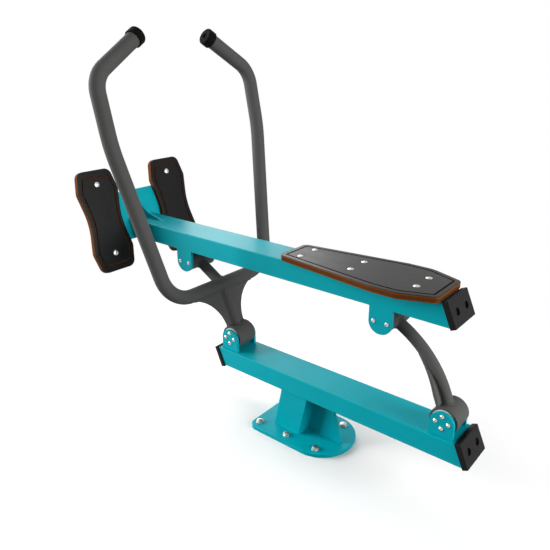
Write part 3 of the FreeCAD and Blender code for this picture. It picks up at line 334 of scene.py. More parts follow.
def bright_steel(name, colour, line, roughness):
    """Stainless or turned steel: a bright metal with fine tool lines that spread its reflections."""
    material, tree, shader, place = new_material(name, {"Metallic": 1.0})
    smear = noise(tree, place, 6, detail=3.0)
    dress(
        tree, shader, clouded(tree, smear, colour, 0.85, 1.1),
        spread(tree, smear, roughness - 0.07, roughness + 0.1),
        bumped(tree, noise(tree, place, line, detail=2.0), 0.08, 0.1 * MM))
    return material


# Meshes and pieces

def coat(material, *nodes):
    """Gives CAD nodes a material."""
    for node in nodes:
        for holder in frame["nodes"][node].material_slots:
            holder.material = material


def to_mesh(name, bm, sharp=35):
    """Mesh of a bmesh with outward faces, smooth but for edges sharper than an angle."""
    bmesh.ops.recalc_face_normals(bm, faces=bm.faces)
    mesh = bpy.data.meshes.new(name)
    bm.to_mesh(mesh)
    bm.free()
    mesh.shade_smooth()
    mesh.set_sharp_from_angle(angle=radians(sharp))
    return mesh


def new_object(name, data):
    item = bpy.data.objects.new(name, data)
    bpy.context.scene.collection.objects.link(item)
    return item


def evaluated(item):
    """Plain mesh of an object with its modifiers, in place of the object."""
    bpy.context.view_layer.update()
    graph = bpy.context.evaluated_depsgraph_get()
    mesh = bpy.data.meshes.new_from_object(item.evaluated_get(graph), depsgraph=graph)
    bpy.data.objects.remove(item)
    return mesh


def piece(name, mesh, materials, body, slot, *nodes):
    """Makes a mesh a piece that rides on a body and stands for CAD nodes."""
    item = new_object(name, mesh)
    mesh.name = name
    for index, material in enumerate(materials):
        if index < len(mesh.materials):
            mesh.materials[index] = material
        else:
            mesh.materials.append(material)
    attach(item, body)
    if nodes:
        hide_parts(*nodes)


def flattened(mesh):
    """The mesh with its flat faces shaded flat beside rounded rims."""
    item = new_object(mesh.name, mesh)
    item.modifiers.new("flat faces stay flat", "WEIGHTED_NORMAL").keep_sharp = True
    return evaluated(item)


def eased(node, rim):
    """Copy of a plate's mesh with its sharp rims rounded over."""
    bm = bmesh.new()
    bm.from_mesh(frame["nodes"][node].data)
    one_point, one_plane, sharp = 0.002 * MM, 0.6, 50
    bmesh.ops.remove_doubles(bm, verts=bm.verts, dist=one_point)
    bmesh.ops.dissolve_limit(bm, angle_limit=radians(one_plane), verts=bm.verts, edges=bm.edges)
    rims = [edge for edge in bm.edges if edge.calc_face_angle(0) > radians(sharp)]
    bmesh.ops.bevel(
        bm, geom=rims, offset=rim, segments=3, profile=0.5, affect="EDGES", clamp_overlap=True)
    mesh = to_mesh(f"{node}_eased", bm, sharp)
    for layer in [layer for layer in mesh.attributes if layer.name == "custom_normal"]:
        mesh.attributes.remove(layer)
    return flattened(mesh)


def outline(corners, inset, steps=9):
    """Points round an outline with rounded corners, moved inwards. It runs anticlockwise."""
    points, least_bend = [], 0.4 * MM
    for index, (x, y, radius) in enumerate(corners):
        before, after = Vector(corners[index - 1][:2]), Vector(corners[(index + 1) % len(corners)][:2])
        back, ahead = (Vector((x, y)) - before).normalized(), (after - Vector((x, y))).normalized()
        angle = atan2(back.x * ahead.y - back.y * ahead.x, back.dot(ahead))
        inward = Vector((-back.y, back.x))
        next_inward = Vector((-ahead.y, ahead.x))
        corner = Vector((x, y)) + (inward + next_inward) * (inset / (1 + inward.dot(next_inward)))
        bend = max(radius - inset, least_bend) if angle > 0 else radius + inset
        start = corner - back * bend * tan(abs(angle) / 2)
        centre = start + inward * copysign(bend, angle)
        for step in range(steps + 1):
            points.append(centre + Matrix.Rotation(angle * step / steps, 2) @ (start - centre))
    return points


def bridge(bm, below, above, finish=0):
    """Joins two closed rings of vertices with faces of the mesh's first or a later material."""
    for index in range(len(below)):
        face = bm.faces.new((below[index - 1], below[index], above[index], above[index - 1]))
        face.material_index = finish


def board(name, corners, groove_corners, holes, place, sizes):
    """Milled board: square below, rounded on top, with a groove along its outline and spot faces for screws.

    Its second material is laid bare where the cutter has gone through the skin, full brown where its
    attribute is 1, with painted shade where it is lower: in the middle of each side and in the groove.
    """
    bm = bmesh.new()
    core_and_shade_layer = bm.verts.layers.float.new("core")
    rim, width, inset = sizes.board_round, sizes.groove_width, sizes.groove_inset
    shoulder, skinned, floor = BOARD - rim, BOARD - sizes.skin, BOARD - sizes.groove_depth
    # Painted light on a board's side: full brown in a band at its top and bottom as a painted highlight, and
    # only 0.6 in between as painted shade.
    chamfer, painted_highlight_band, fade, side_painted_shade = 0.8 * MM, 2.4 * MM, 0.8 * MM, 0.6
    edge = [
        (chamfer, 0, 0), (0, chamfer, 1), (0, painted_highlight_band, 1), (0, painted_highlight_band + fade, side_painted_shade),
        (0, shoulder - painted_highlight_band, side_painted_shade), (0, shoulder - painted_highlight_band + fade, 1), (0, shoulder, 1)]
    rim_steps = 8
    for step in range(1, rim_steps + 1):
        turn = pi / 2 * step / rim_steps
        height = shoulder + rim * sin(turn)
        edge.append((rim * (1 - cos(turn)), height, int(height < skinned)))
    # Painted shade in the groove: its walls and floor keep only 0.35 of the brown.
    lip, drop, hair, fillet, groove_painted_shade = 0.4 * MM, 0.3 * MM, 0.05 * MM, 0.6 * MM, 0.35
    wall = [
        (-lip, BOARD, 0), (0, BOARD - drop, 0), (0, skinned, 0), (0, skinned - hair, groove_painted_shade),
        (0, floor + fillet, groove_painted_shade), (fillet, floor, groove_painted_shade)]
    groove = [(inset + away, height, core) for away, height, core in wall]
    groove += [(inset + width - away, height, core) for away, height, core in reversed(wall)]

    def ring(points, height, core):
        made = [bm.verts.new(place(*point, height)) for point in points]
        for vertex in made:
            vertex[core_and_shade_layer] = core
        return made

    def edges_of(loop):
        return [bm.edges.get((loop[index - 1], loop[index])) for index in range(len(loop))]

    rings = [ring(outline(corners, away), height, core) for away, height, core in edge]
    rings += [ring(outline(groove_corners, away), height, core) for away, height, core in groove]
    for below, above in zip(rings, rings[1:]):
        bridge(bm, below, above, int(below[0][core_and_shade_layer] > 0 and above[0][core_and_shade_layer] > 0))
    bm.faces.new(reversed(rings[0]))
    edges = edges_of(rings[-1])
    spot, spot_depth, spot_steps = 10 * MM, 1 * MM, 40
    turns = [tau * step / spot_steps for step in range(spot_steps)]
    around = [Vector((cos(turn), sin(turn))) for turn in turns]
    for x, y in holes:
        spots = [
            ring([Vector((x, y)) + way * radius for way in around], height, 0)
            for radius, height in ((spot + lip, BOARD), (spot, BOARD - lip), (spot, BOARD - spot_depth))]
        for below, above in zip(spots, spots[1:]):
            bridge(bm, below, above)
        bm.faces.new(spots[-1])
        edges += edges_of(spots[0])
    normal = place(0, 0, 1) - place(0, 0, 0)
    bmesh.ops.triangle_fill(bm, use_beauty=True, use_dissolve=False, edges=edges, normal=normal)
    return to_mesh(name, bm, sharp=32)


def turned(name, rings, steps=48):
    """Closed mesh round +Z from rings in millimetres.

    A ring is a radius, a height and, for a hexagon, half its width across flats.
    """
    bm = bmesh.new()
    rows = []
    for radius, height, *flats in rings:
        if radius == 0:
            rows.append([bm.verts.new((0, 0, height * MM))])
            continue
        row = []
        for step in range(steps):
            angle = tau * step / steps
            off = (angle + pi / 6) % (pi / 3) - pi / 6
            reach = min(radius, flats[0] / cos(off)) if flats else radius
            row.append(bm.verts.new(Vector((reach * cos(angle), reach * sin(angle), height)) * MM))
        rows.append(row)
    for below, above in zip(rows, rows[1:]):
        tips = [row[0] for row in (below, above) if len(row) == 1]
        for index in range(steps):
            corners = ((below, index - 1), (below, index), (above, index), (above, index - 1))
            bm.faces.new([row[at] for row, at in corners if len(row) > 1] + tips)
    return to_mesh(name, bm, sharp=32)


def dome(radius, low, high, count=8):
    """Rings of a round cap from its rim at one height to its top at another, without the top."""
    rise = high - low
    ball = (radius * radius + rise * rise) / (2 * rise)
    radii = [radius * cos(pi / 2 * step / count) for step in range(count)]
    return [(r, high - ball + sqrt(ball * ball - r * r)) for r in radii]


# Geometry Nodes: fasteners on points, and welds along lines

def node_tree(name, *inputs):
    """Empty Geometry Nodes tree with a mesh in, named inputs, a finish and a mesh out."""
    tree = bpy.data.node_groups.new(name, "GeometryNodeTree")
    for label, kind in (("Geometry", "NodeSocketGeometry"), *inputs, ("Finish", "NodeSocketMaterial")):
        tree.interface.new_socket(label, in_out="INPUT", socket_type=kind)
    tree.interface.new_socket("Geometry", in_out="OUTPUT", socket_type="NodeSocketGeometry")
    return tree, add(tree, "NodeGroupInput").outputs


def end_tree(tree, shape, finish):
    """Ends a tree with its shape made real and given its finish."""
    real = add(tree, "GeometryNodeRealizeInstances", {"Geometry": shape})
    coated = add(tree, "GeometryNodeSetMaterial", {"Geometry": real.outputs["Geometry"], "Material": finish})
    add(tree, "NodeGroupOutput", {"Geometry": coated.outputs["Geometry"]})
    return tree


def fastener_tree():
    """Sets one fastener on each point, along the point's facing and turned by a random angle."""
    tree, given = node_tree(
        "fasteners_on_points", ("Fastener", "NodeSocketObject"), ("Turn seed", "NodeSocketInt"))
    facing = add(tree, "GeometryNodeInputNamedAttribute", {"Name": "facing"}, data_type="FLOAT_VECTOR")
    aimed = add(tree, "FunctionNodeAlignRotationToVector", {"Vector": facing.outputs["Attribute"]}, axis="Z")
    # Input 3 is the largest number, and output 1 the number drawn
    spin = add(tree, "FunctionNodeRandomValue", {3: tau, "Seed": given["Turn seed"]}, data_type="FLOAT")
    turn = add(tree, "FunctionNodeAxisAngleToRotation", {"Axis": (0, 0, 1), "Angle": spin.outputs[1]})
    whole = add(tree, "FunctionNodeRotateRotation", {
        "Rotation": aimed.outputs["Rotation"], "Rotate By": turn.outputs["Rotation"]}, rotation_space="LOCAL")
    shape = add(tree, "GeometryNodeObjectInfo", {"Object": given["Fastener"]})
    set_out = add(tree, "GeometryNodeInstanceOnPoints", {
        "Points": given["Geometry"], "Instance": shape.outputs["Geometry"],
        "Rotation": whole.outputs["Rotation"]})
    return end_tree(tree, set_out.outputs["Instances"], given["Finish"])


def weld_tree():
    """Sweeps a rippled bead along each line."""
    tree, given = node_tree(
        "weld_beads", ("Radius", "NodeSocketFloat"), ("Ripple pitch", "NodeSocketFloat"))
    step_share, swell_share, sides = 0.25, 0.09, 10
    lines = add(tree, "GeometryNodeMeshToCurve", {"Mesh": given["Geometry"]})
    fine = add(tree, "GeometryNodeResampleCurve", {
        "Curve": lines.outputs["Curve"],
        "Length": maths(tree, "MULTIPLY", given["Ripple pitch"], step_share)}, mode="LENGTH")
    along = add(tree, "GeometryNodeSplineParameter").outputs["Length"]
    waves = maths(tree, "DIVIDE", along, given["Ripple pitch"])
    ripple = maths(tree, "SINE", maths(tree, "MULTIPLY", waves, tau))
    swell = maths(tree, "MULTIPLY_ADD", ripple, swell_share, 1.0)
    section = add(tree, "GeometryNodeCurvePrimitiveCircle", {"Resolution": sides, "Radius": given["Radius"]})
    bead = add(tree, "GeometryNodeCurveToMesh", {
        "Curve": fine.outputs["Curve"], "Profile Curve": section.outputs["Curve"], "Scale": swell,
        "Fill Caps": True})
    return end_tree(tree, bead.outputs["Mesh"], given["Finish"])


def grown(name, mesh, tree, **inputs):
    """Plain mesh that a tree makes of a mesh of points or lines."""
    item = new_object(name, mesh)
    modifier = item.modifiers.new(tree.name, "NODES")
    modifier.node_group = tree
    sockets = [socket for socket in tree.interface.items_tree if socket.in_out == "INPUT"]
    names = {socket.name: socket.identifier for socket in sockets}
    for label, value in inputs.items():
        modifier[names[label.replace("_", " ")]] = value
    return evaluated(item)


def fasten(name, fastener, spots, body, *nodes, seed):
    """Makes a piece of one stainless fastener set on places and facings."""
    points = bpy.data.meshes.new(f"{name}_points")
    points.from_pydata([place for place, _ in spots], [], [])
    facing = points.attributes.new("facing", "FLOAT_VECTOR", "POINT")
    for entry, (_, way) in zip(facing.data, spots):
        entry.vector = way
    pattern = new_object(f"{name}_pattern", fastener)
    mesh = grown(
        name, points, fastener_tree(), Fastener=pattern, Turn_seed=seed, Finish=finish_of("stainless"))
    bpy.data.objects.remove(pattern)
    piece(name, mesh, [], body, "fasteners", *nodes)


def weld(name, lines, finish, radius, body, slot):
    """Makes a piece of weld beads along lines. A line that ends where it starts is a closed one."""
    points, edges, one_point = [], [], 0.01 * MM
    for line in lines:
        first, closed = len(points), (line[0] - line[-1]).length < one_point
        points += line[:-1] if closed else line
        edges += [(at, at + 1) for at in range(first, len(points) - 1)]
        if closed:
            edges.append((len(points) - 1, first))
    mesh = bpy.data.meshes.new(f"{name}_lines")
    mesh.from_pydata(points, edges, [])
    pitch = bpy.context.scene.rower_sizes.weld_pitch
    made = grown(name, mesh, weld_tree(), Radius=radius, Ripple_pitch=pitch, Finish=finish_of(finish))
    made.shade_smooth()
    piece(name, made, [], body, slot)


def saddle(pivot, way, tube, hub, steps=48):
    """Line round the joint of a tube that meets a hub square on."""
    side = Vector((way.z, 0, -way.x))
    line = []
    for step in range(steps + 1):
        angle = tau * step / steps
        across, off = tube * cos(angle), tube * sin(angle)
        line.append(pivot + way * sqrt(hub * hub - off * off) + side * off + Vector((0, across, 0)))
    return line


def on_footrest(out, across, up):
    """A place given by its distance out of the footrest's plane, across it and up it."""
    return FOOT_CENTRE + FOOT_OUT * out + FOOT_UP * up + Vector((0, across, 0))


def on_arm(along):
    """Place on the rear link's curved arm at a distance from its lower pivot, and the way out there."""
    chord = REAR_UPPER - REAR_LOWER
    half, rise = chord.length / 2, chord.normalized()
    radius = (half * half + ARM_BULGE * ARM_BULGE) / (2 * ARM_BULGE)
    swell = Vector((rise.z, 0, -rise.x))
    centre = (REAR_LOWER + REAR_UPPER) / 2 - swell * (radius - ARM_BULGE)
    angle = 2 * asin(along / (2 * radius)) - asin(half / radius)
    out = swell * cos(angle) + rise * sin(angle)
    return centre + out * radius, out


FINISHES = {}


def finish_of(name):
    """One of the machine's materials, which are made at the first call."""
    if not FINISHES:
        colours = bpy.context.scene.rower_colours
        FINISHES.update(
            frame=powder_coat(
                "powder_coat_satin_turquoise", colours.frame_coat, peel=2.4, depth=0.04, roughness=0.38,
                shine=0.1),
            lever=powder_coat(
                "powder_coat_matt_dark_grey", colours.lever_coat, peel=1.4, depth=0.008, roughness=0.62,
                shine=0.04),
            skin=board_skin(colours.board_skin),
            core=board_core(colours.board_core),
            caps=moulded_plastic("polypropylene_black_moulded", colours.caps, grain=1.1, roughness=0.52),
            grips=moulded_plastic(
                "polyvinyl_chloride_black", colours.grips, grain=1.1, roughness=0.6, shine=0.02),
            stainless=bright_steel("stainless_steel_polished", linear("#C2BEB8"), line=1.5, roughness=0.3),
            turned=bright_steel("steel_turned", linear("#A9A9AA"), line=0.8, roughness=0.34),
            bush=moulded_plastic("polyamide_bearing", linear("#D9D6CB"), grain=1.5, roughness=0.42),
            buffer=moulded_plastic("rubber_moulded", linear("#1B1B1B"), grain=2.0, roughness=0.72))
    return FINISHES[name]


# Operators, one for each group of pieces

class ROWER_OT_frame(bpy.types.Operator):
    """Coats the base and the seat frame, and eases the rims of their plates"""
    bl_idname = "rower.frame"
    bl_label = "Base and seat frame"

    def execute(self, context):
        rim, finish = context.scene.rower_sizes.rim_round, finish_of("frame")
        coat(finish, "base_plate", "pedestal_post", "base_beam", "seat_beam")
        for node in (
                "pedestal_gusset", "footrest_rib", "footrest_cross_plate", "foot_plate_left",
                "foot_plate_right"):
            body = "base" if node == "pedestal_gusset" else "seat_frame"
            piece(f"{node}_eased", eased(node, rim), [finish], body, "main_frame", node)
        return {"FINISHED"}


class ROWER_OT_ears(bpy.types.Operator):
    """Makes the ears: the lower ones stand on the base beam, the upper ones are flush with the seat beam"""
    bl_idname = "rower.ears"
    bl_label = "Ears"

    def execute(self, context):
        rim = context.scene.rower_sizes.rim_round
        for end, pivot in (("front", FRONT_UPPER), ("rear", REAR_UPPER)):
            foot = SEAT_BEAM_LOW + BEAM_CORNER + rim - pivot.z
            self.pair(
                f"{end}_upper_ear", "seat_frame", pivot, UPPER_EAR_HALF, foot, -UPPER_EAR_HALF, BEAM_HALF,
                rim)
        for end, pivot in (("front", FRONT_LOWER), ("rear", REAR_LOWER)):
            foot, face = BASE_BEAM_TOP - pivot.z, BEAM_HALF - LOWER_EAR_INSET
            self.pair(f"{end}_lower_ear", "base", pivot, LOWER_EAR_HALF, foot, LOWER_EAR_RISE, face, rim / 2)
        return {"FINISHED"}

    def pair(self, name, body, pivot, half, foot, tip, face, rim):
        """A pair of ears. Foot and round tip are heights over the pivot, face is the outer side."""
        sharp, round_tip, rim_steps, corner_steps = 0.1 * MM, half * 0.995, 4, 16
        corners = [(half, foot, sharp), (-half, foot, sharp), (-half, tip, round_tip), (half, tip, round_tip)]
        if tip > foot:
            corners = [(-x, y, r) for x, y, r in corners]
        for side, way in SIDES.items():
            bm, rows = bmesh.new(), []
            for step in range(rim_steps + 1):
                turn = pi / 2 * step / rim_steps
                rows.append((rim * (1 - sin(turn)), face - EAR_THICKNESS + rim * (1 - cos(turn))))
            rows += [(away, 2 * face - EAR_THICKNESS - out) for away, out in reversed(rows)]
            rings = []
            for away, out in rows:
                points = outline(corners, away, corner_steps)
                rings.append([bm.verts.new((pivot.x + p.x, way * out, pivot.z + p.y)) for p in points])
            for below, above in zip(rings, rings[1:]):
                bridge(bm, below, above)
            bm.faces.new(rings[0])
            bm.faces.new(rings[-1])
            node = f"{name}_{side}"
            mesh = flattened(to_mesh(node, bm, sharp=50))
            piece(f"{node}_ground", mesh, [finish_of("frame")], body, "main_frame", node)


class ROWER_OT_lever(bpy.types.Operator):
    """Coats the lever and the rear link, and eases the rims of their webs and fins"""
    bl_idname = "rower.lever"
    bl_label = "Lever and rear link"

    def execute(self, context):
        rim, finish = context.scene.rower_sizes.rim_round, finish_of("lever")
        coat(finish, "lever_lower_hub", "lever_lower_stem", "handlebar", "lever_upper_stem",
             "lever_upper_hub", "rear_link_lower_hub", "rear_link_arm", "rear_link_upper_hub")
        for side, way in SIDES.items():
            node = f"lever_web_{side}"
            piece(f"{node}_eased", eased(node, rim), [finish], "lever", "moving_frame", node)
            node = f"rear_link_fin_{side}"
            piece(f"{node}_rounded", self.fin(node, way), [finish], "rear_link", "moving_frame", node)
        return {"FINISHED"}

    def fin(self, name, way, steps=40, rim=3 * MM):
        """Curved fin on the arm's inner side, with a rounded rim, that runs out into the tube."""
        bm, rings = bmesh.new(), []
        for step in range(steps + 1):
            along = FIN_START + (FIN_END - FIN_START) * step / steps
            taper = max(along - FIN_STRAIGHT, 0) / (FIN_END - FIN_STRAIGHT)
            wide = FIN_FOOT + (FIN_TIP - FIN_FOOT) * taper
            place, out = on_arm(along)
            place = place - out * FIN_SETBACK
            section = [(-FIN_HALF, FIN_ROOT)]
            for turn in map(radians, range(-90, 91, 15)):
                section.append((
                    copysign(FIN_HALF - rim, turn) + rim * sin(turn), wide - rim + rim * cos(turn)))
            section.append((FIN_HALF, FIN_ROOT))
            rings.append([
                bm.verts.new(place + out * off + Vector((0, way * far, 0))) for off, far in section])
        for below, above in zip(rings, rings[1:]):
            bridge(bm, below, above)
        bm.faces.new(rings[0])
        bm.faces.new(rings[-1])
        return to_mesh(name, bm, sharp=50)


class ROWER_OT_boards(bpy.types.Operator):
    """Makes the seat and the foot pads from milled two-colour board"""
    bl_idname = "rower.boards"
    bl_label = "Boards"

    def execute(self, context):
        sizes, finishes = context.scene.rower_sizes, [finish_of("skin"), finish_of("core")]
        near = [(0, -56, 16), (290.5, -95, 70), (357.5, -95, 70), (441.5, -62, 16)]
        seat = [(x * MM, y * MM, r * MM) for x, y, r in near + [(x, -y, r) for x, y, r in reversed(near)]]
        foot, foot_groove = self.foot_corners(0), self.foot_corners(sizes.groove_end)
        for side, way in SIDES.items():
            mesh = board(
                f"foot_board_{side}", foot, foot_groove, [(0, up) for up in FOOT_SCREWS],
                lambda x, y, out: on_footrest(out, way * FOOT_SPREAD + x, y), sizes)
            piece(f"foot_board_{side}", mesh, finishes, "seat_frame", "boards", f"foot_pad_{side}")
        mesh = board(
            "seat_board", seat, seat, [(x - SEAT_FRONT, y) for x, y in SEAT_SCREWS],
            lambda x, y, up: Vector((SEAT_FRONT + x, y, SEAT_BEAM_TOP + up)), sizes)
        piece("seat_board", mesh, finishes, "seat_frame", "boards", "seat_pad")
        return {"FINISHED"}

    def foot_corners(self, shorter):
        """Waisted outline of a foot pad, shorter at both ends."""
        end = 158
        half = [(57.5, -end, 24), (72, -93, 30), (55, 0, 230), (72, 93, 30), (57.5, end, 24)]
        corners = half + [(-x, y, r) for x, y, r in reversed(half)]
        ends = {end: shorter, -end: -shorter}
        return [(x * MM, y * MM - ends.get(y, 0), r * MM) for x, y, r in corners]


class ROWER_OT_caps(bpy.types.Operator):
    """Makes the beam caps with painted light on the floors of their dimples, and gives the grip caps their
    moulded plastic
    """
    bl_idname = "rower.caps"
    bl_label = "Caps"

    def execute(self, context):
        coat(finish_of("grips"), "grip_cap_left", "grip_cap_right")
        for node, body in (
                ("base_front_cap", "base"), ("base_rear_cap", "base"), ("seat_beam_cap", "seat_frame")):
            piece(f"{node}_moulded", self.dimpled(node), [finish_of("caps")], body, "caps", node)
        return {"FINISHED"}

    def dimpled(self, node):
        """Copy of a cap with an attribute that is 1 on the floors of its dimples, where light is painted."""
        mesh = frame["nodes"][node].data.copy()
        outwards = max(mesh.polygons, key=lambda face: face.area * abs(face.normal.x)).normal.copy()
        if outwards.x * (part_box(node)[0].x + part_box(node)[1].x) < 0:
            outwards.negate()
        reach = [outwards.dot(vertex.co) for vertex in mesh.vertices]
        # Marks the dimple floors, 5 mm deep, for painted light.
        polish, depth, slack = mesh.attributes.new("polish", "FLOAT", "POINT"), 5 * MM, 0.1 * MM
        for entry, far in zip(polish.data, reach):
            entry.value = abs(max(reach) - far - depth) < slack
        return mesh


class ROWER_OT_pivots(bpy.types.Operator):
    """Gives the axles, bushes and end stops their finishes"""
    bl_idname = "rower.pivots"
    bl_label = "Axles, bushes and stops"

    def execute(self, context):
        coat(finish_of("turned"), "front_lower_axle", "rear_lower_axle", "front_upper_axle",
             "rear_upper_axle", "stop_key", "stop_ring")
        coat(finish_of("bush"), "lever_lower_bushes", "lever_upper_bushes", "rear_link_lower_bushes",
             "rear_link_upper_bushes")
        coat(finish_of("buffer"), "stop_buffers")
        coat(finish_of("stainless"), "seat_pad_nuts")
        return {"FINISHED"}


class ROWER_OT_axle_screws(bpy.types.Operator):
    """Makes the button-head screws that clamp the axles between their ears"""
    bl_idname = "rower.axle_screws"
    bl_label = "Axle screws"

    def execute(self, context):
        head = dome(5.5, 0.9, 3.5, 6)
        shape = turned("axle_screw", [
            (0, -26), (2.5, -26), (3, -25.4), (3, -0.1), (5.3, 0), (5.5, 0.2), *head[:4], (2.9, 3.25, 2.6),
            (2.7, 3.05, 2.0), (2.7, 1.5, 2.0), (0, 1.3)])
        lower, upper = (FRONT_LOWER, REAR_LOWER), (FRONT_UPPER, REAR_UPPER)
        for level, body, pivots, circle, count, face in (
                ("lower", "base", lower, 16 * MM, 4, BEAM_HALF - LOWER_EAR_INSET),
                ("upper", "seat_frame", upper, 18 * MM, 2, BEAM_HALF)):
            spots = []
            for pivot in pivots:
                for step in range(count):
                    angle = tau * step / count
                    off = Vector((cos(angle), 0, sin(angle))) * circle
                    spots += [(pivot + off + Vector((0, way * face, 0)), (0, way, 0)) for way in (1, -1)]
            fasten(f"{level}_axle_screw_heads", shape, spots, body,
                   f"front_{level}_axle_screws", f"rear_{level}_axle_screws", seed=7)
        return {"FINISHED"}


class ROWER_OT_board_screws(bpy.types.Operator):
    """Makes the mushroom-head screws of the boards and the nuts behind the foot pads"""
    bl_idname = "rower.board_screws"
    bl_label = "Board screws"

    def execute(self, context):
        def shape(name, length):
            return turned(name, [
                (0, -length), (3.4, -length), (4, -length + 0.7), (4, -1.1), (7.4, -1.1), (7.4, 0),
                (8.1, 0.05), (8.25, 0.2), *dome(8.25, 0.5, 2.6), (0, 2.6)])
        places = [(way * FOOT_SPREAD, up) for way in SIDES.values() for up in FOOT_SCREWS]
        spots = [(on_footrest(BOARD, across, up), FOOT_OUT) for across, up in places]
        screw = shape("foot_board_screw", 32.5)
        fasten("foot_board_screws", screw, spots, "seat_frame", "foot_pad_screws", seed=3)
        spots = [(Vector((x, y, SEAT_BEAM_TOP + BOARD)), (0, 0, 1)) for x, y in SEAT_SCREWS]
        screw = shape("seat_board_screw", 28.5)
        fasten("seat_board_screws", screw, spots, "seat_frame", "seat_pad_screws", seed=3)
        nut = turned("hexagon_nut", [
            (4.1, 0), (6.4, 0, 6.2), (7.2, 0.6, 6.2), (7.2, 5.9, 6.2), (6.4, 6.5, 6.2), (4.1, 6.5), (4.1, 0)])
        spots = [(on_footrest(-FOOT_PLATE, across, up), -FOOT_OUT) for across, up in places]
        fasten("foot_board_nuts", nut, spots, "seat_frame", "foot_pad_nuts", seed=11)
        return {"FINISHED"}


class ROWER_OT_anchors(bpy.types.Operator):
    """Makes the domed cap nuts and washers on the ground anchors"""
    bl_idname = "rower.anchors"
    bl_label = "Anchor nuts"

    def execute(self, context):
        flats = 10.4 * cos(pi / 6)
        shape = turned("cap_nut_and_washer", [
            (0, 0), (10.95, 0), (11.25, 0.3), (11.25, 1.7), (10.9, 2), (9.4, 2, flats), (10.4, 2.5, flats),
            (10.4, 5.9, flats), (9.3, 6.45, flats), *dome(8.8, 6.5, 9.1), (0, 9.1)])
        spots = [
            (Vector((x * MM, y * MM, PLATE_TOP)), (0, 0, 1)) for x in (-100, 0, 100) for y in (-70, 70)]
        fasten("anchor_cap_nuts", shape, spots, "base", "anchor_nuts", "anchor_washers", seed=5)
        return {"FINISHED"}


class ROWER_OT_welds(bpy.types.Operator):
    """Makes the painted weld beads where tubes, hubs and plates meet"""
    bl_idname = "rower.welds"
    bl_label = "Welds"

    def execute(self, context):
        sizes = context.scene.rower_sizes
        bead, seam = sizes.weld_radius, sizes.seam_radius
        stem = Vector((-sin(STEM_LEAN), 0, cos(STEM_LEAN)))
        cross = FRONT_LOWER + stem * STEM_LENGTH
        rise = (FRONT_UPPER - cross).normalized()
        lever = [
            saddle(FRONT_LOWER, stem, STEM, LOWER_HUB), saddle(cross, -stem, STEM, HANDLE),
            saddle(cross, rise, STEM, HANDLE), saddle(FRONT_UPPER, -rise, STEM, UPPER_HUB)]
        lever += self.web_lines(stem)
        weld("lever_welds", lever, "lever", bead, "lever", "moving_frame")
        weld("rear_link_welds", self.link_lines(), "lever", bead, "rear_link", "moving_frame")
        weld("pedestal_welds", self.pedestal_lines(), "frame", seam, "base", "main_frame")
        weld("footrest_welds", self.footrest_lines(), "frame", seam, "seat_frame", "main_frame")
        return {"FINISHED"}

    def web_lines(self, stem):
        """Both faces of the two webs, along the hub, the stem and the cross tube, sunk a little into them."""
        lines, face = [], Vector((stem.z, 0, -stem.x))
        low, high, near = LOWER_HUB - 0.2 * MM, STEM_LENGTH - HANDLE + 0.4 * MM, STEM - 0.5 * MM
        foot, head = 33 * MM, 116 * MM
        for way in SIDES.values():
            for off in (WEB_HALF, -WEB_HALF):
                lines.append([
                    FRONT_LOWER + stem * up + face * off + Vector((0, way * across, 0))
                    for across, up in ((foot, low), (near, low), (near, high), (head, high))])
        return lines

    def link_lines(self):
        """The arm on both hubs, and the fins along the arm."""
        lines, steps = [], 30
        length = (REAR_UPPER - REAR_LOWER).length
        for pivot, hub, along in (
                (REAR_LOWER, LOWER_HUB, LOWER_HUB), (REAR_UPPER, UPPER_HUB, length - UPPER_HUB)):
            lines.append(saddle(pivot, (on_arm(along)[0] - pivot).normalized(), ARM, hub))
        back, across, run = FIN_SETBACK - FIN_HALF, 13.4 * MM, 112 * MM
        for way in SIDES.values():
            line = []
            for step in range(steps + 1):
                place, out = on_arm(LOWER_HUB + run * step / steps)
                line.append(place - out * back + Vector((0, way * across, 0)))
            lines.append(line)
        return lines

    def pedestal_lines(self):
        """The post on the plate and under the beam, and the gusset between all three."""
        shift = (BASE_BEAM_LOW - PLATE_TOP) * tan(POST_LEAN)
        half = POST_HALF / cos(POST_LEAN)
        front, rear = POST_FOOT - half, POST_FOOT + half
        lines, near, far = [], -POST_HALF, POST_HALF
        for off, height in ((0, PLATE_TOP), (shift, BASE_BEAM_LOW)):
            corners = ((front, near), (rear, near), (rear, far), (front, far), (front, near))
            lines.append([Vector((x + off, y, height)) for x, y in corners])
        spots = (
            (GUSSET_FOOT, PLATE_TOP), (rear, PLATE_TOP),
            (rear + shift, BASE_BEAM_LOW), (GUSSET_HEAD, BASE_BEAM_LOW))
        for y in (GUSSET_HALF, -GUSSET_HALF):
            lines.append([Vector((x, y, z)) for x, z in spots])
        return lines

    def footrest_lines(self):
        """The beam and rib on the cross plate, the rib on the beam, and the seams behind the foot pads."""
        def on_plate(across, height):
            return on_footrest(0, across, (height - FOOT_CENTRE.z) / cos(FOOT_TILT))
        low, top, half = SEAT_BEAM_LOW, SEAT_BEAM_TOP, BEAM_HALF
        section = ((-half, low), (-half, top), (half, top), (half, low), (-half, low))
        lines = [[on_plate(y, z) for y, z in section]]
        rib_rise, rib_run = FOOT_UP * 72 * MM, Vector((108 * MM, 0, 0))
        for y in (RIB_HALF, -RIB_HALF):
            corner = on_plate(y, top)
            lines.append([corner + rib_rise, corner, corner + rib_run])
        seam_across, seam_half = 90.5 * MM, 76 * MM
        for way in SIDES.values():
            lines.append([on_footrest(-FOOT_PLATE, way * seam_across, up) for up in (-seam_half, seam_half)])
        return lines


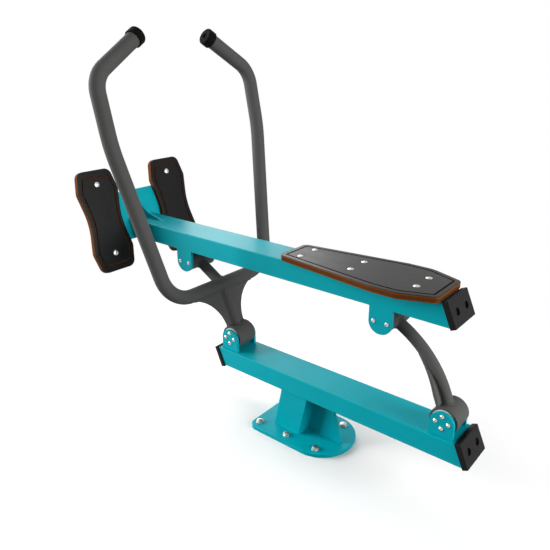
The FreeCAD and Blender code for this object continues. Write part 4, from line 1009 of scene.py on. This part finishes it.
class ROWER_OT_stage(bpy.types.Operator):
    """Makes the pale floor, the studio light and the camera"""
    bl_idname = "rower.stage"
    bl_label = "Stage"

    def execute(self, context):
        scene = context.scene
        scene.view_settings.view_transform = "Standard"
        self.make_floor(scene.rower_colours.floor)
        self.make_world(scene)
        for name, spot, aim, wide, power in (
                ("left_softbox", (-4.1, -2.3, 1.5), (0, 0, 0.5), 3.4, 405),
                ("right_softbox", (3.4, 0.2, 1.3), (0, 0, 0.5), 2.4, 142),
                ("back_softbox", (-3.0, 1.4, 2.3), (0, 0, 0.4), 4.2, 134)):
            lamp = bpy.data.lights.new(name, "AREA")
            lamp.shape, lamp.size, lamp.energy = "DISK", wide, power
            item = new_object(name, lamp)
            item.location = spot
            item.rotation_euler = (Vector(spot) - Vector(aim)).to_track_quat("Z", "Y").to_euler()
        view = bpy.data.cameras.new("photo_view")
        view.sensor_width, view.lens = 36, 38.21
        camera = new_object("photo_view", view)
        right = Vector((0.77336, 0.63396, -0.00254))
        up = Vector((-0.22646, 0.28000, 0.93291))
        turn = Matrix((right, up, right.cross(up))).transposed()
        stand = (0.8576, -1.1648, 1.0354)
        camera.matrix_world = Matrix.Translation(stand) @ turn.to_4x4()
        scene.camera = camera
        return {"FINISHED"}

    def shown_ways(self, tree):
        """1 for what the camera sees directly, in a reflection or through glass."""
        rays = add(tree, "ShaderNodeLightPath").outputs
        seen = maths(tree, "ADD", rays["Is Camera Ray"], rays["Is Glossy Ray"])
        return maths(tree, "ADD", seen, rays["Is Transmission Ray"], use_clamp=True)

    def make_floor(self, colour):
        """Pale painted floor that fades to white away from the machine."""
        size, drop, fade_start, fade_end = 14, 0.4 * MM, 0.5, 1.35
        bm = bmesh.new()
        bmesh.ops.create_circle(bm, cap_ends=True, radius=size, segments=96)
        bmesh.ops.translate(bm, verts=bm.verts, vec=(0, 0, -drop))
        mesh = to_mesh("studio_floor", bm)
        material = bpy.data.materials.new("studio_paint_matt")
        tree = bare_tree(material)
        shown = self.shown_ways(tree)
        tone = mixed(tree, shown, (*linear("#646462"), 1), (*colour, 1))
        paint = add(tree, "ShaderNodeBsdfDiffuse", {"Color": tone})
        white = add(tree, "ShaderNodeEmission", {"Color": (1, 1, 1, 1), "Strength": 1.0})
        place = add(tree, "ShaderNodeTexCoord").outputs["Object"]
        far = add(tree, "ShaderNodeVectorMath", {0: place}, operation="LENGTH").outputs["Value"]
        fade = add(tree, "ShaderNodeMapRange", {
            "Value": far, "From Min": fade_start, "From Max": fade_end}, interpolation_type="SMOOTHSTEP")
        share = maths(tree, "MULTIPLY", fade.outputs["Result"], shown)
        both = add(tree, "ShaderNodeMixShader", {
            0: share, 1: paint.outputs["BSDF"], 2: white.outputs["Emission"]})
        add(tree, "ShaderNodeOutputMaterial", {"Surface": both.outputs["Shader"]})
        mesh.materials.append(material)
        new_object("studio_floor", mesh)

    def make_world(self, scene):
        """Even soft light from all round, seen as white."""
        world = bpy.data.worlds.new("studio")
        tree = bare_tree(world)
        soft = add(tree, "ShaderNodeBackground", {"Color": (1, 1, 1, 1), "Strength": 0.2})
        white = add(tree, "ShaderNodeBackground", {"Color": (1, 1, 1, 1), "Strength": 1.0})
        both = add(tree, "ShaderNodeMixShader", {
            0: self.shown_ways(tree), 1: soft.outputs["Background"], 2: white.outputs["Background"]})
        add(tree, "ShaderNodeOutputWorld", {"Surface": both.outputs["Shader"]})
        scene.world = world


OPERATORS = (
    ROWER_OT_frame, ROWER_OT_ears, ROWER_OT_lever, ROWER_OT_boards, ROWER_OT_caps, ROWER_OT_pivots,
    ROWER_OT_axle_screws, ROWER_OT_board_screws, ROWER_OT_anchors, ROWER_OT_welds, ROWER_OT_stage)


class ROWER_PT_machine(bpy.types.Panel):
    """Sizes, colours and pieces of the rowing machine"""
    bl_idname = "ROWER_PT_machine"
    bl_label = "Rowing machine"
    bl_space_type = "VIEW_3D"
    bl_region_type = "UI"
    bl_category = "Rower"

    def draw(self, context):
        for group in (context.scene.rower_sizes, context.scene.rower_colours):
            column = self.layout.column()
            for name in group.__annotations__:
                column.prop(group, name)
        for operator in OPERATORS:
            self.layout.operator(operator.bl_idname)


CLASSES = (RowerSizes, RowerColours, *OPERATORS, ROWER_PT_machine)


def register():
    for item in CLASSES:
        bpy.utils.register_class(item)
    bpy.types.Scene.rower_sizes = bpy.props.PointerProperty(type=RowerSizes)
    bpy.types.Scene.rower_colours = bpy.props.PointerProperty(type=RowerColours)


def unregister():
    del bpy.types.Scene.rower_colours
    del bpy.types.Scene.rower_sizes
    for item in reversed(CLASSES):
        bpy.utils.unregister_class(item)


def main():
    """Makes the whole machine and its stage."""
    register()
    for operator in OPERATORS:
        group, name = operator.bl_idname.split(".")
        getattr(getattr(bpy.ops, group), name)()


if __name__ == "__main__":
    main()
